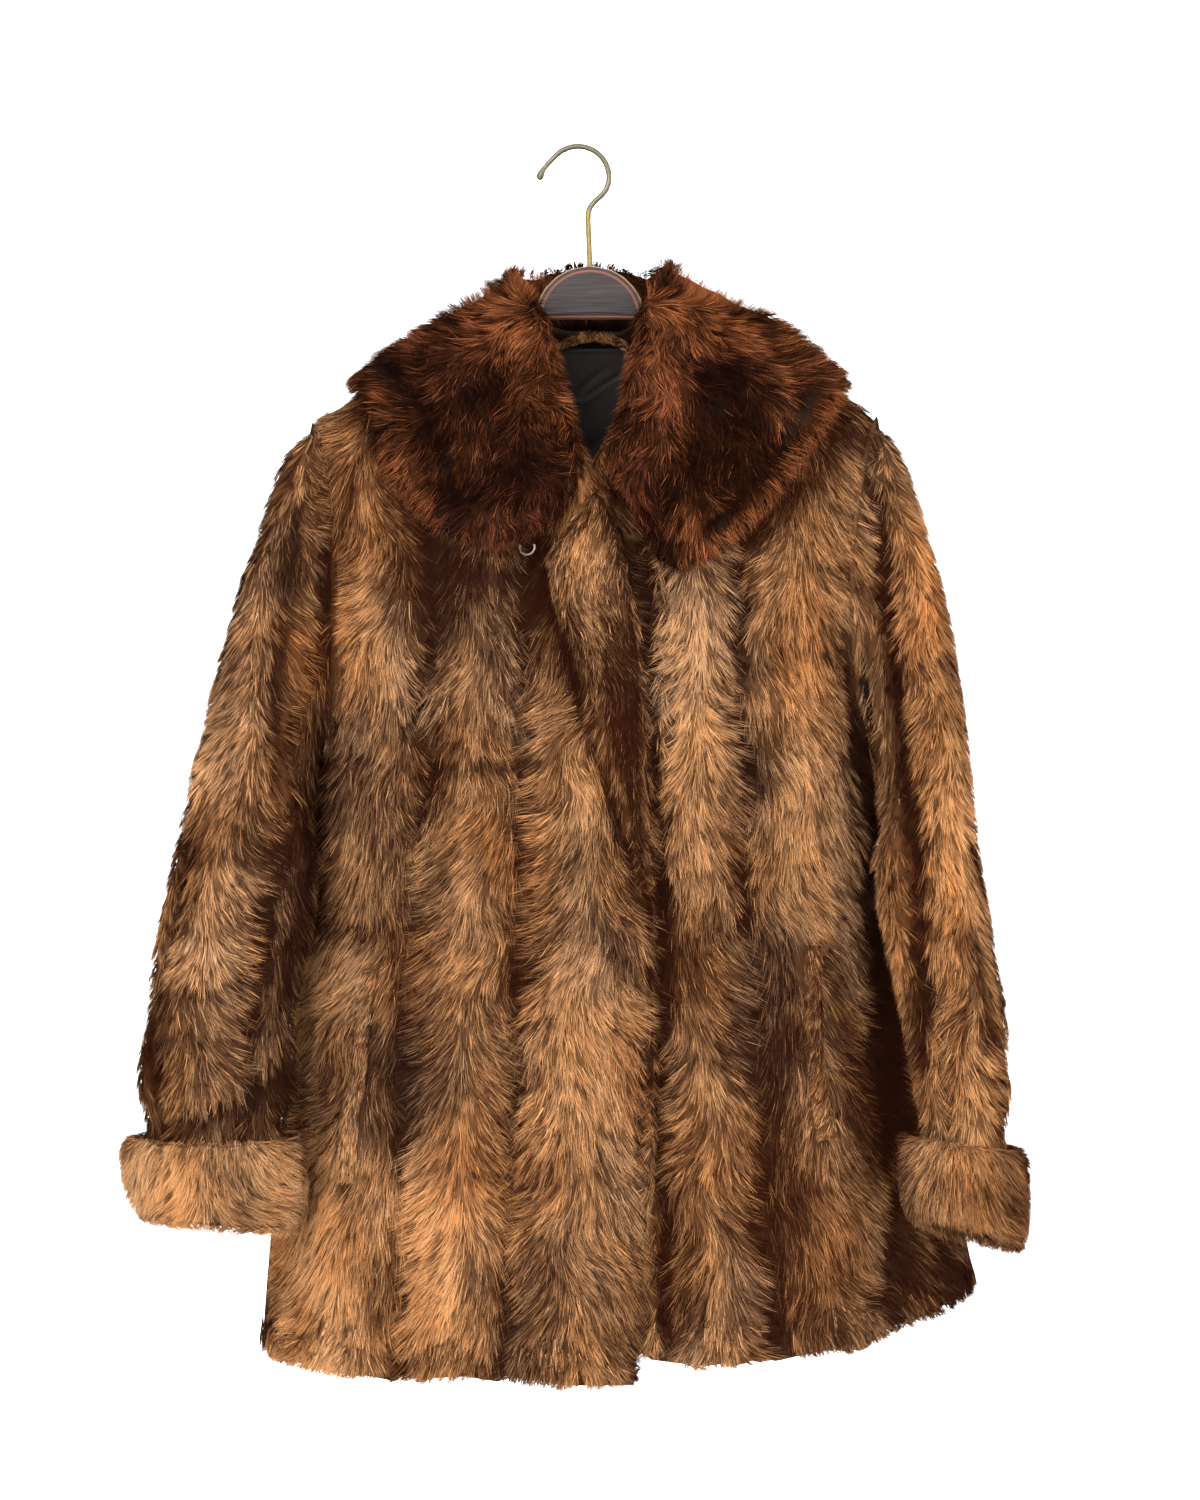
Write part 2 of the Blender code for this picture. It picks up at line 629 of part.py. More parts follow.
FACING = table("along left_x left_low right_x right_low", (
    (0, -19, 297, 13, 251),
    (1, -18, 309, 23, 268),
    (2, -14, 327, 32, 297),
    (3, -2, 362, 39, 339),
    (4, 12, 392, 42.5, 380),
    (5, 24, 422, 44.5, 418),
    (6, 34, 462, 46, 465),
    (7, 40, 502, 48, 508),
    (8, 46, 531, 50.5, 531)))
FACING_LIFT = 1.0
FACING_ROWS, FACING_COLUMNS = 19, 5


def front_right_facing():
    """The inside of the right front's edge, rolled back over the front and tapering down."""
    along = np.linspace(0, 8, FACING_ROWS)[:, None]
    share = np.linspace(0, 1, FACING_COLUMNS)[None, :]
    at = {name: curve(along) for name, curve in FACING.items()}
    x = at["left_x"] + (at["right_x"] - at["left_x"]) * share
    low = at["left_low"] + (at["right_low"] - at["left_low"]) * share
    thick = FACING_WALL * (0.45 + 0.55 * ramp(at["right_x"] - at["left_x"], 2, 18)) + 0 * share
    outer = front_place(x, low, True, FACING_LIFT + thick)
    inner = front_place(x, low, True, FACING_LIFT + 0 * thick)
    wall("front_right_facing", outer, inner, FUR, round_rims=("start",))


WELT_WIDTH, WELT_WALL, WELT_LIFT = 12.0, 4.0, 0.7
WELTS = {
    "right": (True, table("low x", ((586, -144), (616, -150), (661, -153), (690, -159),
                                    (735, -162)))["x"], 586, 735),
    "left": (False, table("low x", ((570, 164), (647, 166), (691, 172), (704, 174)))["x"],
             570, 704)}
WELT_ROWS = 10


def pocket_welt(side):
    """The fur edge of a slit pocket, a narrow strip on the front."""
    lapped, path, top, foot = WELTS[side]
    low = np.linspace(top, foot, WELT_ROWS)[:, None]
    across = np.array([-0.5, -0.2, 0.2, 0.5])[None, :] * WELT_WIDTH
    x = path(low) + across
    low = low + 0 * across
    thick = WELT_WALL * (1 - 0.5 * (np.abs(across) / WELT_WIDTH * 2) ** 2) + 0 * low
    outer = front_place(x, low, lapped, WELT_LIFT + thick)
    inner = front_place(x, low, lapped, WELT_LIFT + 0 * thick)
    wall("pocket_welt_" + side, outer, inner, FUR)


LINING_COLUMNS, LINING_ROWS = 13, 10
LINING_TOP, LINING_FOOT, LINING_REACH = 134.0, 300.0, 84.0
LINING_CLEARANCE = 2.8


def back_neck_lining():
    """The lining under the back of the neck, as far as it shows between the collar's fronts."""
    low = np.linspace(LINING_TOP, LINING_FOOT, LINING_ROWS)[:, None]
    share = np.linspace(-1, 1, LINING_COLUMNS)[None, :]
    x = HUB_X + share * (LINING_REACH - 0.14 * (low - LINING_TOP))
    low = np.maximum(low + 0 * x, SHOULDER(x) + 22)

    def at(x_at, low_at):
        return np.stack([x_at, depth_at(x_at, low_at, 1), -low_at], axis=-1)
    normals = unit(np.cross(at(x + 1, low) - at(x - 1, low), at(x, low - 1) - at(x, low + 1)))
    normals = normals * np.sign(normals[..., 1:2])
    near = BODY_WALL + LINING_CLEARANCE
    outer = at(x, low) - normals * near
    inner = at(x, low) - normals * (near + LINING_WALL)
    wall("back_neck_lining", outer, inner, LINING)


def tube(name, path, radii, sides, look):
    """A round bar along a path, with a radius for each of its points and closed ends."""
    path = np.array(path, float)
    ways = unit(np.gradient(path, axis=0))
    normal = unit(np.cross(ways[0], [0.3, 1.0, 0.2]))
    verts, faces = [], []
    angles = 2 * np.pi * np.arange(sides) / sides
    for i, (point, way, radius) in enumerate(zip(path, ways, radii)):
        normal = unit(normal - way * np.dot(normal, way))
        other = np.cross(way, normal)
        for angle in angles:
            verts.append(point + radius * (math.cos(angle) * normal + math.sin(angle) * other))
        if i:
            for k in range(sides):
                a, b = (i - 1) * sides + k, (i - 1) * sides + (k + 1) % sides
                faces.append([a, b, b + sides, a + sides])
    faces.append(list(range(sides)))
    faces.append([(len(path) - 1) * sides + k for k in range(sides)])
    return object_from(name, verts, faces, *look)


LOOP = ((-19, 150), (-14, 141), (0, 134.5), (9, 133), (20, 134), (32, 138), (38, 147))
LOOP_RADIUS, LOOP_STAND_OFF, LOOP_POINTS = 3.4, 5.4, 17


def smooth_path(points, count):
    """A smooth path through points, given by as many even steps."""
    points = np.array(points, float)
    keys = np.arange(len(points))
    share = np.linspace(0, len(points) - 1, count)
    return np.stack([smooth(keys, points[:, i])(share) for i in range(points.shape[1])], axis=-1)


def hanging_loop():
    """The covered loop at the back of the neck, a soft cord that lies on the lining."""
    flat = smooth_path(LOOP, LOOP_POINTS)
    y = depth_at(flat[:, 0], flat[:, 1], 1) - BODY_WALL - LINING_CLEARANCE - LINING_WALL
    path = np.stack([flat[:, 0], y - LOOP_STAND_OFF, -flat[:, 1]], axis=-1)
    tube("hanging_loop", path, [LOOP_RADIUS] * LOOP_POINTS, 8, DARK_FUR)


CLOSURE_X, CLOSURE_LOW = -34.0, 292.5
CLOSURE_RADIUS, CLOSURE_WIRE, CLOSURE_LIFT = 5.0, 0.9, 0.8
CLOSURE_POINTS = 13


def closure_hook():
    """The round bar of the fur hook that closes the coat under the collar."""
    turn = np.linspace(-math.pi * 1.12, math.pi * 0.12, CLOSURE_POINTS)
    x = CLOSURE_X + CLOSURE_RADIUS * np.cos(turn)
    low = CLOSURE_LOW - CLOSURE_RADIUS * np.sin(turn)
    path = front_place(x, low, True, CLOSURE_WIRE + CLOSURE_LIFT + 0 * x)
    tube("closure_hook", path, [CLOSURE_WIRE] * CLOSURE_POINTS, 8, NICKEL)


# ---------------------------------------------------------------- hanger
HANGER = table("x top foot half_depth square", (
    (-178, 214, 226, 7, 2),
    (-172, 208, 228, 11, 2),
    (-160, 198, 221, 16, 2),
    (-140, 181, 210, 17, 2),
    (-92, 152, 184, 15, 2),
    (-60, 136, 163, 11, 2.2),
    (-44, 129, 147, 8, 3),
    (-33, 125.5, 131, 7, 4),
    (-26, 124.5, 122.8, 7, 5),
    (42, 124.5, 122.8, 7, 5),
    (51, 125.5, 131, 7, 4),
    (62, 129, 147, 8, 3),
    (78, 136, 163, 11, 2.2),
    (112, 152, 184, 15, 2),
    (160, 181, 210, 17, 2),
    (180, 198, 221, 16, 2),
    (192, 208, 228, 11, 2),
    (198, 214, 226, 7, 2)))
HANGER_STATIONS = (-178, -176, -172, -160, -140, -116, -92, -76, -60, -50, -42, -36, -31.2, -28,
                   -23, -16, -7, 8.6, 24, 33, 40, 45, 48.4, 53, 59, 67, 78, 94, 112, 136, 160,
                   180, 192, 196, 198)
HANGER_SIDES = 12
HANGER_CLEARANCE = 1.0


def hanger_body():
    """A wooden shoulder hanger with a half-moon middle: one bar, a section for each station."""
    sections = []
    angles = 2 * np.pi * np.arange(HANGER_SIDES) / HANGER_SIDES
    for x in HANGER_STATIONS:
        top, foot = float(HANGER["top"](x)), float(HANGER["foot"](x))
        half_depth, square = float(HANGER["half_depth"](x)), float(HANGER["square"](x))
        inside = HUB_RADIUS ** 2 - (x - HUB_X) ** 2
        if inside > 0:
            top = min(top, HUB_LOW - math.sqrt(inside))
        if abs(x - HUB_X) > HUB_RADIUS + 20 and 196 > x > -176:
            slope = (SHOULDER(x + 1) - SHOULDER(x - 1)) / 2
            top = float(SHOULDER(x)) + (BODY_WALL + HANGER_CLEARANCE) * math.hypot(1, slope)
        middle, half = (top + foot) / 2, (foot - top) / 2
        c, d = np.cos(angles), np.sin(angles)
        y = half_depth * np.sign(c) * np.abs(c) ** (2 / square)
        low = middle - half * np.sign(d) * np.abs(d) ** (2 / square)
        sections.append(np.stack([x + 0 * y, y, -low], axis=-1))
    grid = np.array(sections)
    count = HANGER_SIDES
    faces = [[i * count + k, i * count + (k + 1) % count,
              (i + 1) * count + (k + 1) % count, (i + 1) * count + k]
             for i in range(len(sections) - 1) for k in range(count)]
    faces.append(list(range(count)))
    faces.append([(len(sections) - 1) * count + k for k in range(count)])
    object_from("hanger_body", grid.reshape(-1, 3), faces, *WOOD)


def hanger_hook():
    """The hook: a wire that rises from the hanger, crosses over and ends in a small ball."""
    centre_low = HOOK_RADIUS - WIRE_RADIUS
    arc = [(HOOK_RADIUS * math.cos(math.radians(turn)),
            centre_low - HOOK_RADIUS * math.sin(math.radians(turn)))
           for turn in range(146, -11, -12)]
    flare = [(-27.6, 22.0), (-27.4, 20.0), (-26.6, 17.2), (-23.6, 12.4)]
    stem = [(20.4, 29.0), (17.2, 33.2), (12.4, 37.4), (8.8, 41.8), (7.2, 48.0), (7.6, 60.0),
            (8.6, HUB_LOW - HUB_RADIUS - SEAM_GAP)]
    flat = flare + arc + stem
    path = [(x, 0.0, -low) for x, low in flat]
    radii = [1.6, 2.9, 2.7] + [WIRE_RADIUS] * (len(path) - 3)
    tube("hanger_hook", path, radii, 8, NICKEL)


def main():
    for piece in list(bpy.data.objects):
        bpy.data.objects.remove(piece, do_unlink=True)
    fronts = {"right": front_right(), "left": front_left()}
    whole_back = back()
    sleeve("right", -1, fronts["right"], whole_back, 0)
    sleeve("left", 1, fronts["left"], whole_back, -1)
    for side in ("right", "left"):
        cuff(side)
        pocket_welt(side)
    collar()
    front_right_facing()
    back_neck_lining()
    hanging_loop()
    closure_hook()
    hanger_body()
    hanger_hook()


main()
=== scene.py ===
# %% [markdown]
# # A fur jacket on its wooden hanger
# The jacket is sewn from narrow strips of fur. On each strip the hair runs down the middle and
# turns out to the seams, which gives the feather pattern. The hanger carries it, and its wire
# hook hangs on a rail or a wall hook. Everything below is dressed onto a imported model, which
# stays where it is: sizes are in metres, +Z is up, and the wearer's left is +X.

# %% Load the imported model
import itertools
import math

import bmesh
import bpy
import numpy as np
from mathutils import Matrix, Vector
from mathutils.bvhtree import BVHTree


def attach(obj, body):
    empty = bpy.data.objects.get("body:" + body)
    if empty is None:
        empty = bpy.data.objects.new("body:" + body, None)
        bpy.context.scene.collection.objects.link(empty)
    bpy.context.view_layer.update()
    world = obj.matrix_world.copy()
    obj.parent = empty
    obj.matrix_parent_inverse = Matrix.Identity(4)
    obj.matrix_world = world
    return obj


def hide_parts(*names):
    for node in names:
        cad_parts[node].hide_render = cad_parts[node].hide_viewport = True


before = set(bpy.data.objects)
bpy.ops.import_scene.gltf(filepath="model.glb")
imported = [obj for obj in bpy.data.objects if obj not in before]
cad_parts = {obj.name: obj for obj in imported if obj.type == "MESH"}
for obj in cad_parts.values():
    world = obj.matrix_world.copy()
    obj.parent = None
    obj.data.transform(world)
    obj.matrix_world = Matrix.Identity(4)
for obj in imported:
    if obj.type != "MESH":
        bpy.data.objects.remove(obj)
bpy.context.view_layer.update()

MM = 0.001

# %% [markdown]
# ## Camera
# The jacket is seen straight from the front. A long lens from well back keeps the sleeves and
# the collar from swelling. The picture is 1200 by 1500, so the sensor's width is its long side.

# %% Place the camera
VIEW_CENTRE = Vector((0.01584, 0.0, -0.43272))
VIEW_DISTANCE = 2.4
VIEW_HEIGHT = 1.08
LENS_MM = 100

camera_data = bpy.data.cameras.new("camera")
camera_data.lens = LENS_MM
camera_data.sensor_width = LENS_MM * VIEW_HEIGHT / VIEW_DISTANCE
camera = bpy.data.objects.new("camera", camera_data)
camera.location = VIEW_CENTRE + Vector((0, -VIEW_DISTANCE, 0))
camera.rotation_euler = (math.pi / 2, 0, 0)
bpy.context.scene.collection.objects.link(camera)
bpy.context.scene.camera = camera
print("camera sensor in mm:", round(camera_data.sensor_width, 1))

# %% [markdown]
# ## Room and light
# The jacket hangs in a closed pale room with wide round corners, as in a light tent, so there
# is no horizon. Its walls and ceiling glow and light the fur from all round. One broad soft
# light above and in front shapes it, and weaker ones fill the sides.

# %% Build the pale room
ROOM_LOW = (-6, -8.6, -1.45)
ROOM_HIGH = (6, 3.4, 4.55)
CORNER_RADIUS = 1.5
# faces whose middle is lower than this above the floor belong to it
FLOOR_LAYER = 10 * MM


def pale_paper(name, glow):
    paper = bpy.data.materials.new(name)
    paper.use_nodes = True
    shader = paper.node_tree.nodes["Principled BSDF"]
    shader.inputs["Base Color"].default_value = (0.8, 0.8, 0.8, 1)
    shader.inputs["Roughness"].default_value = 0.9
    shader.inputs["Emission Color"].default_value = (1, 1, 1, 1)
    shader.inputs["Emission Strength"].default_value = glow
    return paper


def build_room():
    """One piece: a floor, and round corners up to glowing walls and a glowing ceiling."""
    mesh = bmesh.new()
    bmesh.ops.create_cube(mesh, size=2)
    for vert in mesh.verts:
        vert.co = [(low, high)[side > 0] for side, low, high in zip(vert.co, ROOM_LOW, ROOM_HIGH)]
    bmesh.ops.bevel(mesh, geom=mesh.edges[:], offset=CORNER_RADIUS, segments=20, profile=0.5,
                    affect="EDGES")
    for face in mesh.faces:
        face.smooth = True
        face.material_index = int(face.calc_center_median().z > ROOM_LOW[2] + FLOOR_LAYER)
    data = bpy.data.meshes.new("backdrop")
    mesh.to_mesh(data)
    mesh.free()
    data.materials.append(pale_paper("floor_paper", 0.0))
    data.materials.append(pale_paper("lit_wall_paper", 1.0))
    backdrop = bpy.data.objects.new("backdrop", data)
    bpy.context.scene.collection.objects.link(backdrop)
    return backdrop


print("room faces:", len(build_room().data.polygons))

# %% Set the lights
# name, place, size, watts
LIGHTS = [
    ("key_light", (-0.7, -2.3, 0.7), 0.9, 37),
    ("fill_light", (1.5, -2.4, 0.4), 1.6, 8),
    ("low_light", (-0.5, -2.8, -0.7), 1.6, 7),
]


def soft_light(name, place, size, watts):
    data = bpy.data.lights.new(name, "AREA")
    data.shape = "DISK"
    data.size = size
    data.energy = watts
    lamp = bpy.data.objects.new(name, data)
    lamp.location = place
    lamp.rotation_euler = (VIEW_CENTRE - Vector(place)).to_track_quat("-Z", "Y").to_euler()
    bpy.context.scene.collection.objects.link(lamp)


for name, place, size, watts in LIGHTS:
    soft_light(name, place, size, watts)

bpy.context.scene.view_settings.view_transform = "Standard"
world = bpy.data.worlds.new("room")
world.use_nodes = True
world.node_tree.nodes["Background"].inputs["Color"].default_value = (1, 1, 1, 1)
world.node_tree.nodes["Background"].inputs["Strength"].default_value = 0.2
bpy.context.scene.world = world
print("lights:", len(LIGHTS))

# %% [markdown]
# ## Finishes
# Hair is coloured by two numbers that each hair carries in its own UV map: u runs from cool
# grey-brown through gold to red-brown, and v from the dark root to the light tip. The darker
# root is partly the underfur's own colour and partly painted shade deep in the fur, and v also
# carries the painted shade and highlights charted below. A dark ramp and a light ramp over u
# are mixed by v squared, so one small map colours every hair. The hide below reads the same
# two numbers from its corners, so no bald patch shows between the locks.

# %% Write the finishes
HAIR_MAP = "OFBake"
HIDE_TONE = "hide_tone"


def fill(material, node, inputs):
    """Wires each named input to a socket, or writes a plain value on it."""
    for name, source in inputs.items():
        if isinstance(source, bpy.types.NodeSocket):
            material.node_tree.links.new(source, node.inputs[name])
        else:
            node.inputs[name].default_value = source


def new_material(name, roughness, shine=0.5, metallic=0.0):
    material = bpy.data.materials.new(name)
    material.use_nodes = True
    shader = material.node_tree.nodes["Principled BSDF"]
    values = {"Roughness": roughness, "Specular IOR Level": shine, "Metallic": metallic}
    fill(material, shader, values)
    return material, shader


def add_node(material, kind, inputs, **values):
    """Adds a node, sets its plain values and fills its inputs."""
    node = material.node_tree.nodes.new(kind)
    for name, value in values.items():
        setattr(node, name, value)
    fill(material, node, inputs)
    return node


def object_place(material):
    """The socket with the place in the piece's own coordinates."""
    return add_node(material, "ShaderNodeTexCoord", {}).outputs["Object"]


def split(material, vector):
    """The three sockets of a vector's parts."""
    return add_node(material, "ShaderNodeSeparateXYZ", {"Vector": vector}).outputs


def linear(red, green, blue):
    """An sRGB colour, 0 to 255, as the linear colour that a shader takes."""
    parts = [channel / 255 for channel in (red, green, blue)]
    return [c / 12.92 if c <= 0.04045 else ((c + 0.055) / 1.055) ** 2.4 for c in parts] + [1]


def add_ramp(material, source, stops):
    """A colour ramp from (place, sRGB colour) rows."""
    node = add_node(material, "ShaderNodeValToRGB", {"Fac": source})
    ramp = node.color_ramp
    while len(ramp.elements) < len(stops):
        ramp.elements.new(0.5)
    for element, (place, colour) in zip(ramp.elements, stops):
        element.position = place
        element.color = linear(*colour)
    return node.outputs["Color"]


def add_mix(material, factor, first, second):
    """Mixes two colour sockets by a third socket."""
    node = add_node(material, "ShaderNodeMix", {"Factor": factor}, data_type="RGBA")
    sockets = [socket for socket in node.inputs if socket.type == "RGBA"]
    for socket, colour in zip(sockets, (first, second)):
        material.node_tree.links.new(colour, socket)
    return [socket for socket in node.outputs if socket.type == "RGBA"][0]


def add_streaks(material, scale, detail=5):
    """Noise on object coordinates, drawn out by the scales along x, y and z."""
    place = {"Vector": object_place(material), "Scale": scale}
    spread = add_node(material, "ShaderNodeMapping", place).outputs["Vector"]
    grain = {"Vector": spread, "Scale": 1, "Detail": detail, "Roughness": 0.65}
    return add_node(material, "ShaderNodeTexNoise", grain).outputs["Fac"]


def add_band(material, value, start, end):
    """Rises from 0 to 1 while a value goes from start to end."""
    limits = {"Value": value, "From Min": start, "From Max": end}
    return add_node(material, "ShaderNodeMapRange", limits).outputs["Result"]


def add_height_band(material, start, end):
    """Rises from 0 to 1 while z goes from start to end."""
    return add_band(material, split(material, object_place(material))["Z"], start, end)


def finish(material, shader, colour, grain, depth_mm, strength=0.6):
    """Gives the finish its colour socket and a fine relief that follows the grain socket."""
    relief = {"Height": grain, "Distance": depth_mm * MM, "Strength": strength}
    bump = add_node(material, "ShaderNodeBump", relief)
    fill(material, shader, {"Base Color": colour, "Normal": bump.outputs["Normal"]})
    return material


# place along u, colour in the shade, colour in the light
BODY_HAIR = [
    (0.00, (32, 18, 16), (202, 156, 138)),
    (0.25, (34, 18, 12), (222, 169, 122)),
    (0.50, (38, 17, 9), (226, 162, 105)),
    (0.75, (40, 17, 8), (211, 138, 80)),
    (1.00, (40, 16, 7), (186, 106, 55)),
]
COLLAR_HAIR = [
    (0.00, (16, 7, 8), (144, 88, 82)),
    (0.30, (18, 7, 6), (168, 94, 62)),
    (0.60, (22, 9, 5), (188, 112, 66)),
    (1.00, (23, 8, 4), (166, 80, 42)),
]


def hair_colours(material, tone, value, table):
    """The colour socket for a tone socket and a value socket, which is squared."""
    shade = add_ramp(material, tone, [(u, dark) for u, dark, light in table])
    bright = add_ramp(material, tone, [(u, light) for u, dark, light in table])
    curve = add_node(material, "ShaderNodeMath", {0: value, 1: 2}, operation="POWER")
    return add_mix(material, curve.outputs["Value"], shade, bright)


def hair_material(name, table):
    """Matt hair, coloured by the two numbers in its own map."""
    material, shader = new_material(name, 0.7, 0)
    uv = add_node(material, "ShaderNodeUVMap", {}, uv_map=HAIR_MAP)
    parts = split(material, uv.outputs["UV"])
    fill(material, shader, {"Base Color": hair_colours(material, parts["X"], parts["Y"], table)})
    return material


def hide_material(name, table):
    """Fine streaks in the colours of the hair above, by the two numbers at its corners."""
    material, shader = new_material(name, 0.8, 0)
    tone = add_node(material, "ShaderNodeAttribute", {}, attribute_name=HIDE_TONE)
    parts = split(material, tone.outputs["Vector"])
    streaks = add_streaks(material, (900, 900, 130))
    lift = {0: streaks, 1: 0.2, 2: parts["Y"]}
    value = add_node(material, "ShaderNodeMath", lift, operation="MULTIPLY_ADD").outputs["Value"]
    return finish(material, shader, hair_colours(material, parts["X"], value, table), streaks, 0.8)


def satin_in_painted_shade():
    """The lining: an even weave of dark threads, partly its own colour, partly painted shade."""
    material, shader = new_material("satin_in_painted_shade", 0.8, 0.02)
    weave = add_streaks(material, (1400, 1400, 1400))
    cloth = add_ramp(material, weave, [(0.3, (16, 10, 7)), (0.7, (31, 20, 14))])
    return finish(material, shader, cloth, weave, 0.1)


BODY_FUR = hair_material("golden_brown_fur", BODY_HAIR)
COLLAR_FUR = hair_material("dark_red_brown_fur", COLLAR_HAIR)
BODY_HIDE = hide_material("golden_brown_hide", BODY_HAIR)
COLLAR_HIDE = hide_material("dark_red_brown_hide", COLLAR_HAIR)
# the lining's colour is that of fur in shade: partly its own, partly painted shade
LINING = satin_in_painted_shade()
print("finishes:", len(bpy.data.materials))

# %% [markdown]
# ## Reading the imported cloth
# Each cut piece of the model is a closed wall. Hair grows on its outer side only. On a piece
# that wraps the body or the arm, a face is on the outer side if it looks away from the middle.
# On the others, and where two pieces overlap, a short ray tells: no wall may be close by.

# %% Read the walls
CLOTH = ["back", "front_left", "front_right", "sleeve_left", "sleeve_right", "cuff_left",
         "cuff_right", "collar", "front_right_facing", "pocket_welt_left", "pocket_welt_right",
         "hanging_loop"]
TUBES = ["sleeve_left", "sleeve_right", "cuff_left", "cuff_right"]
FRONTS = ["front_left", "front_right"]
WRAPS = TUBES + FRONTS + ["back"]
BODY_MIDDLE_X = 0.0105
# a wall nearer than this in front of a place covers it
CLEAR_REACH = 2 * MM
# where the ray that measures a wall's depth starts, how far it looks, and the share that is used
START_DEPTH = 2.5 * MM
DEPTH_REACH = 40 * MM
DEPTH_SHARE = 0.7
# a tube's middle is the middle of all that lies this near in height
SLICE = 30 * MM
# cosine to the spoke below which a face is seen edge on, and how far it looks for its own wall
EDGE_ON = 0.35
OWN_WALL = 16 * MM
# a rolled cuff is haired all round, but for the faces that look straight inwards
ROLLED_EDGE_ON = -0.8


def corners_of(mesh):
    """Places and normals of a mesh's corners."""
    return (np.array([vert.co[:] for vert in mesh.verts]),
            np.array([vert.normal[:] for vert in mesh.verts]))


def merged_copy(node):
    """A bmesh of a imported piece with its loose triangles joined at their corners."""
    mesh = bmesh.new()
    mesh.from_mesh(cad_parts[node].data)
    bmesh.ops.remove_doubles(mesh, verts=mesh.verts, dist=0.02 * MM)
    mesh.normal_update()
    return mesh


def all_walls():
    """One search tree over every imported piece, for the rays."""
    points, faces = [], []
    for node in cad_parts.values():
        base = len(points)
        points.extend(vert.co.copy() for vert in node.data.vertices)
        faces.extend([base + i for i in face.vertices] for face in node.data.polygons)
    return BVHTree.FromPolygons(points, faces)


WALLS = all_walls()


def tube_middle(mesh):
    """The middle of a hanging tube at any height, as a function of z."""
    places = corners_of(mesh)[0]
    heights = np.linspace(places[:, 2].min(), places[:, 2].max(), 25)
    middles = []
    for height in heights:
        near = places[np.abs(places[:, 2] - height) < SLICE]
        middles.append((near.min(0) + near.max(0)) / 2)
    middles = np.array(middles)
    return lambda z: np.stack([np.interp(z, heights, middles[:, 0]),
                               np.interp(z, heights, middles[:, 1]), z], -1)


def body_middle(z):
    """The jacket's upright middle line at any height."""
    return np.stack([np.full_like(z, BODY_MIDDLE_X), np.zeros_like(z), z], -1)


def looks_out(face, middle, tree, rolled):
    """True on the haired side. A face seen edge on must have clear air outward of it."""
    centre = face.calc_center_median()
    spoke = centre - Vector(middle(np.array([centre.z]))[0])
    spoke.z = 0
    spoke.normalize()
    away = face.normal.dot(spoke)
    if rolled or abs(away) > EDGE_ON:
        return away > (ROLLED_EDGE_ON if rolled else 0)
    start = centre + (face.normal + spoke) * 0.3 * MM
    return tree.ray_cast(start, spoke, OWN_WALL)[0] is None


def is_open(place, normal):
    """No wall of another piece stands just in front of this place."""
    normal = Vector(normal)
    return WALLS.ray_cast(Vector(place) + normal * 0.2 * MM, normal, CLEAR_REACH)[0] is None


def read_wall(node):
    """Corner points and normals, triangles, which are on the outer side, and a search tree."""
    mesh = merged_copy(node)
    middle = tube_middle(mesh) if node in TUBES else body_middle
    tree = BVHTree.FromBMesh(mesh)
    if node in WRAPS:
        rolled = node.startswith("cuff")
        outside = [looks_out(face, middle, tree, rolled) for face in mesh.faces]
    else:
        outside = [is_open(face.calc_center_median(), face.normal) for face in mesh.faces]
    points, normals = corners_of(mesh)
    wall = {
        "middle": middle,
        "points": points,
        "normals": normals,
        "triangles": np.array([[vert.index for vert in face.verts] for face in mesh.faces]),
        "outside": np.array(outside),
        "tree": tree,
    }
    mesh.free()
    return wall


def limit_depth(wall, places, normals, wanted):
    """The wanted depth below each place, kept clear of the wall's other side."""
    room = []
    for place, normal in zip(places, normals):
        inward = -Vector(normal)
        gap = wall["tree"].ray_cast(Vector(place) + inward * START_DEPTH, inward, DEPTH_REACH)[3]
        room.append(DEPTH_REACH if gap is None else gap + START_DEPTH)
    return np.minimum(wanted, DEPTH_SHARE * np.array(room))


def comb_in(wall, tips, fluff):
    """The move in m that brings a tip standing off the wall back to within its fluff of it."""
    moves = np.zeros_like(tips)
    for index, (tip, allowed) in enumerate(zip(tips, fluff)):
        tip = Vector(tip)
        near, normal, face, gap = wall["tree"].find_nearest(tip)
        if gap > allowed and (tip - near).dot(normal) > 0:
            moves[index] = (near - tip) * (1 - allowed / gap)
    return moves


walls = {node: read_wall(node) for node in CLOTH}
for node, wall in walls.items():
    print(node, "triangles", len(wall["triangles"]), "outside", int(wall["outside"].sum()))

# %% [markdown]
# ## How the furrier worked it, and where light and shade are painted
# These tables hold the handwork: where the strips are joined, how the colour changes, which
# creases dent the fur, and which way the collar is brushed. They also hold painted shade in
# creases, seams and gaps, painted shadow under the collar and round the lapel, and painted
# highlights on ridges and edges. x and low are in mm, and low is the distance below the hook's
# bearing point.

# %% Chart the strips
# low, then the x of each seam between the front strips
FRONT_SEAMS = [
    (100, -205, -122, -56, 10, 60, 118, 205),
    (300, -192, -102, -40, 55, 60, 112, 205),
    (600, -205, -116, -44, 56, 62, 124, 212),
    (880, -240, -128, -50, 44, 62, 140, 230),
]
BACK_STRIPS = 13
# strips round each tube, and how far they are turned
TUBE_STRIPS = {"sleeve_left": (5, 0.75), "sleeve_right": (5, 0.1), "cuff_left": (2, 0.05),
               "cuff_right": (2, 0.05)}
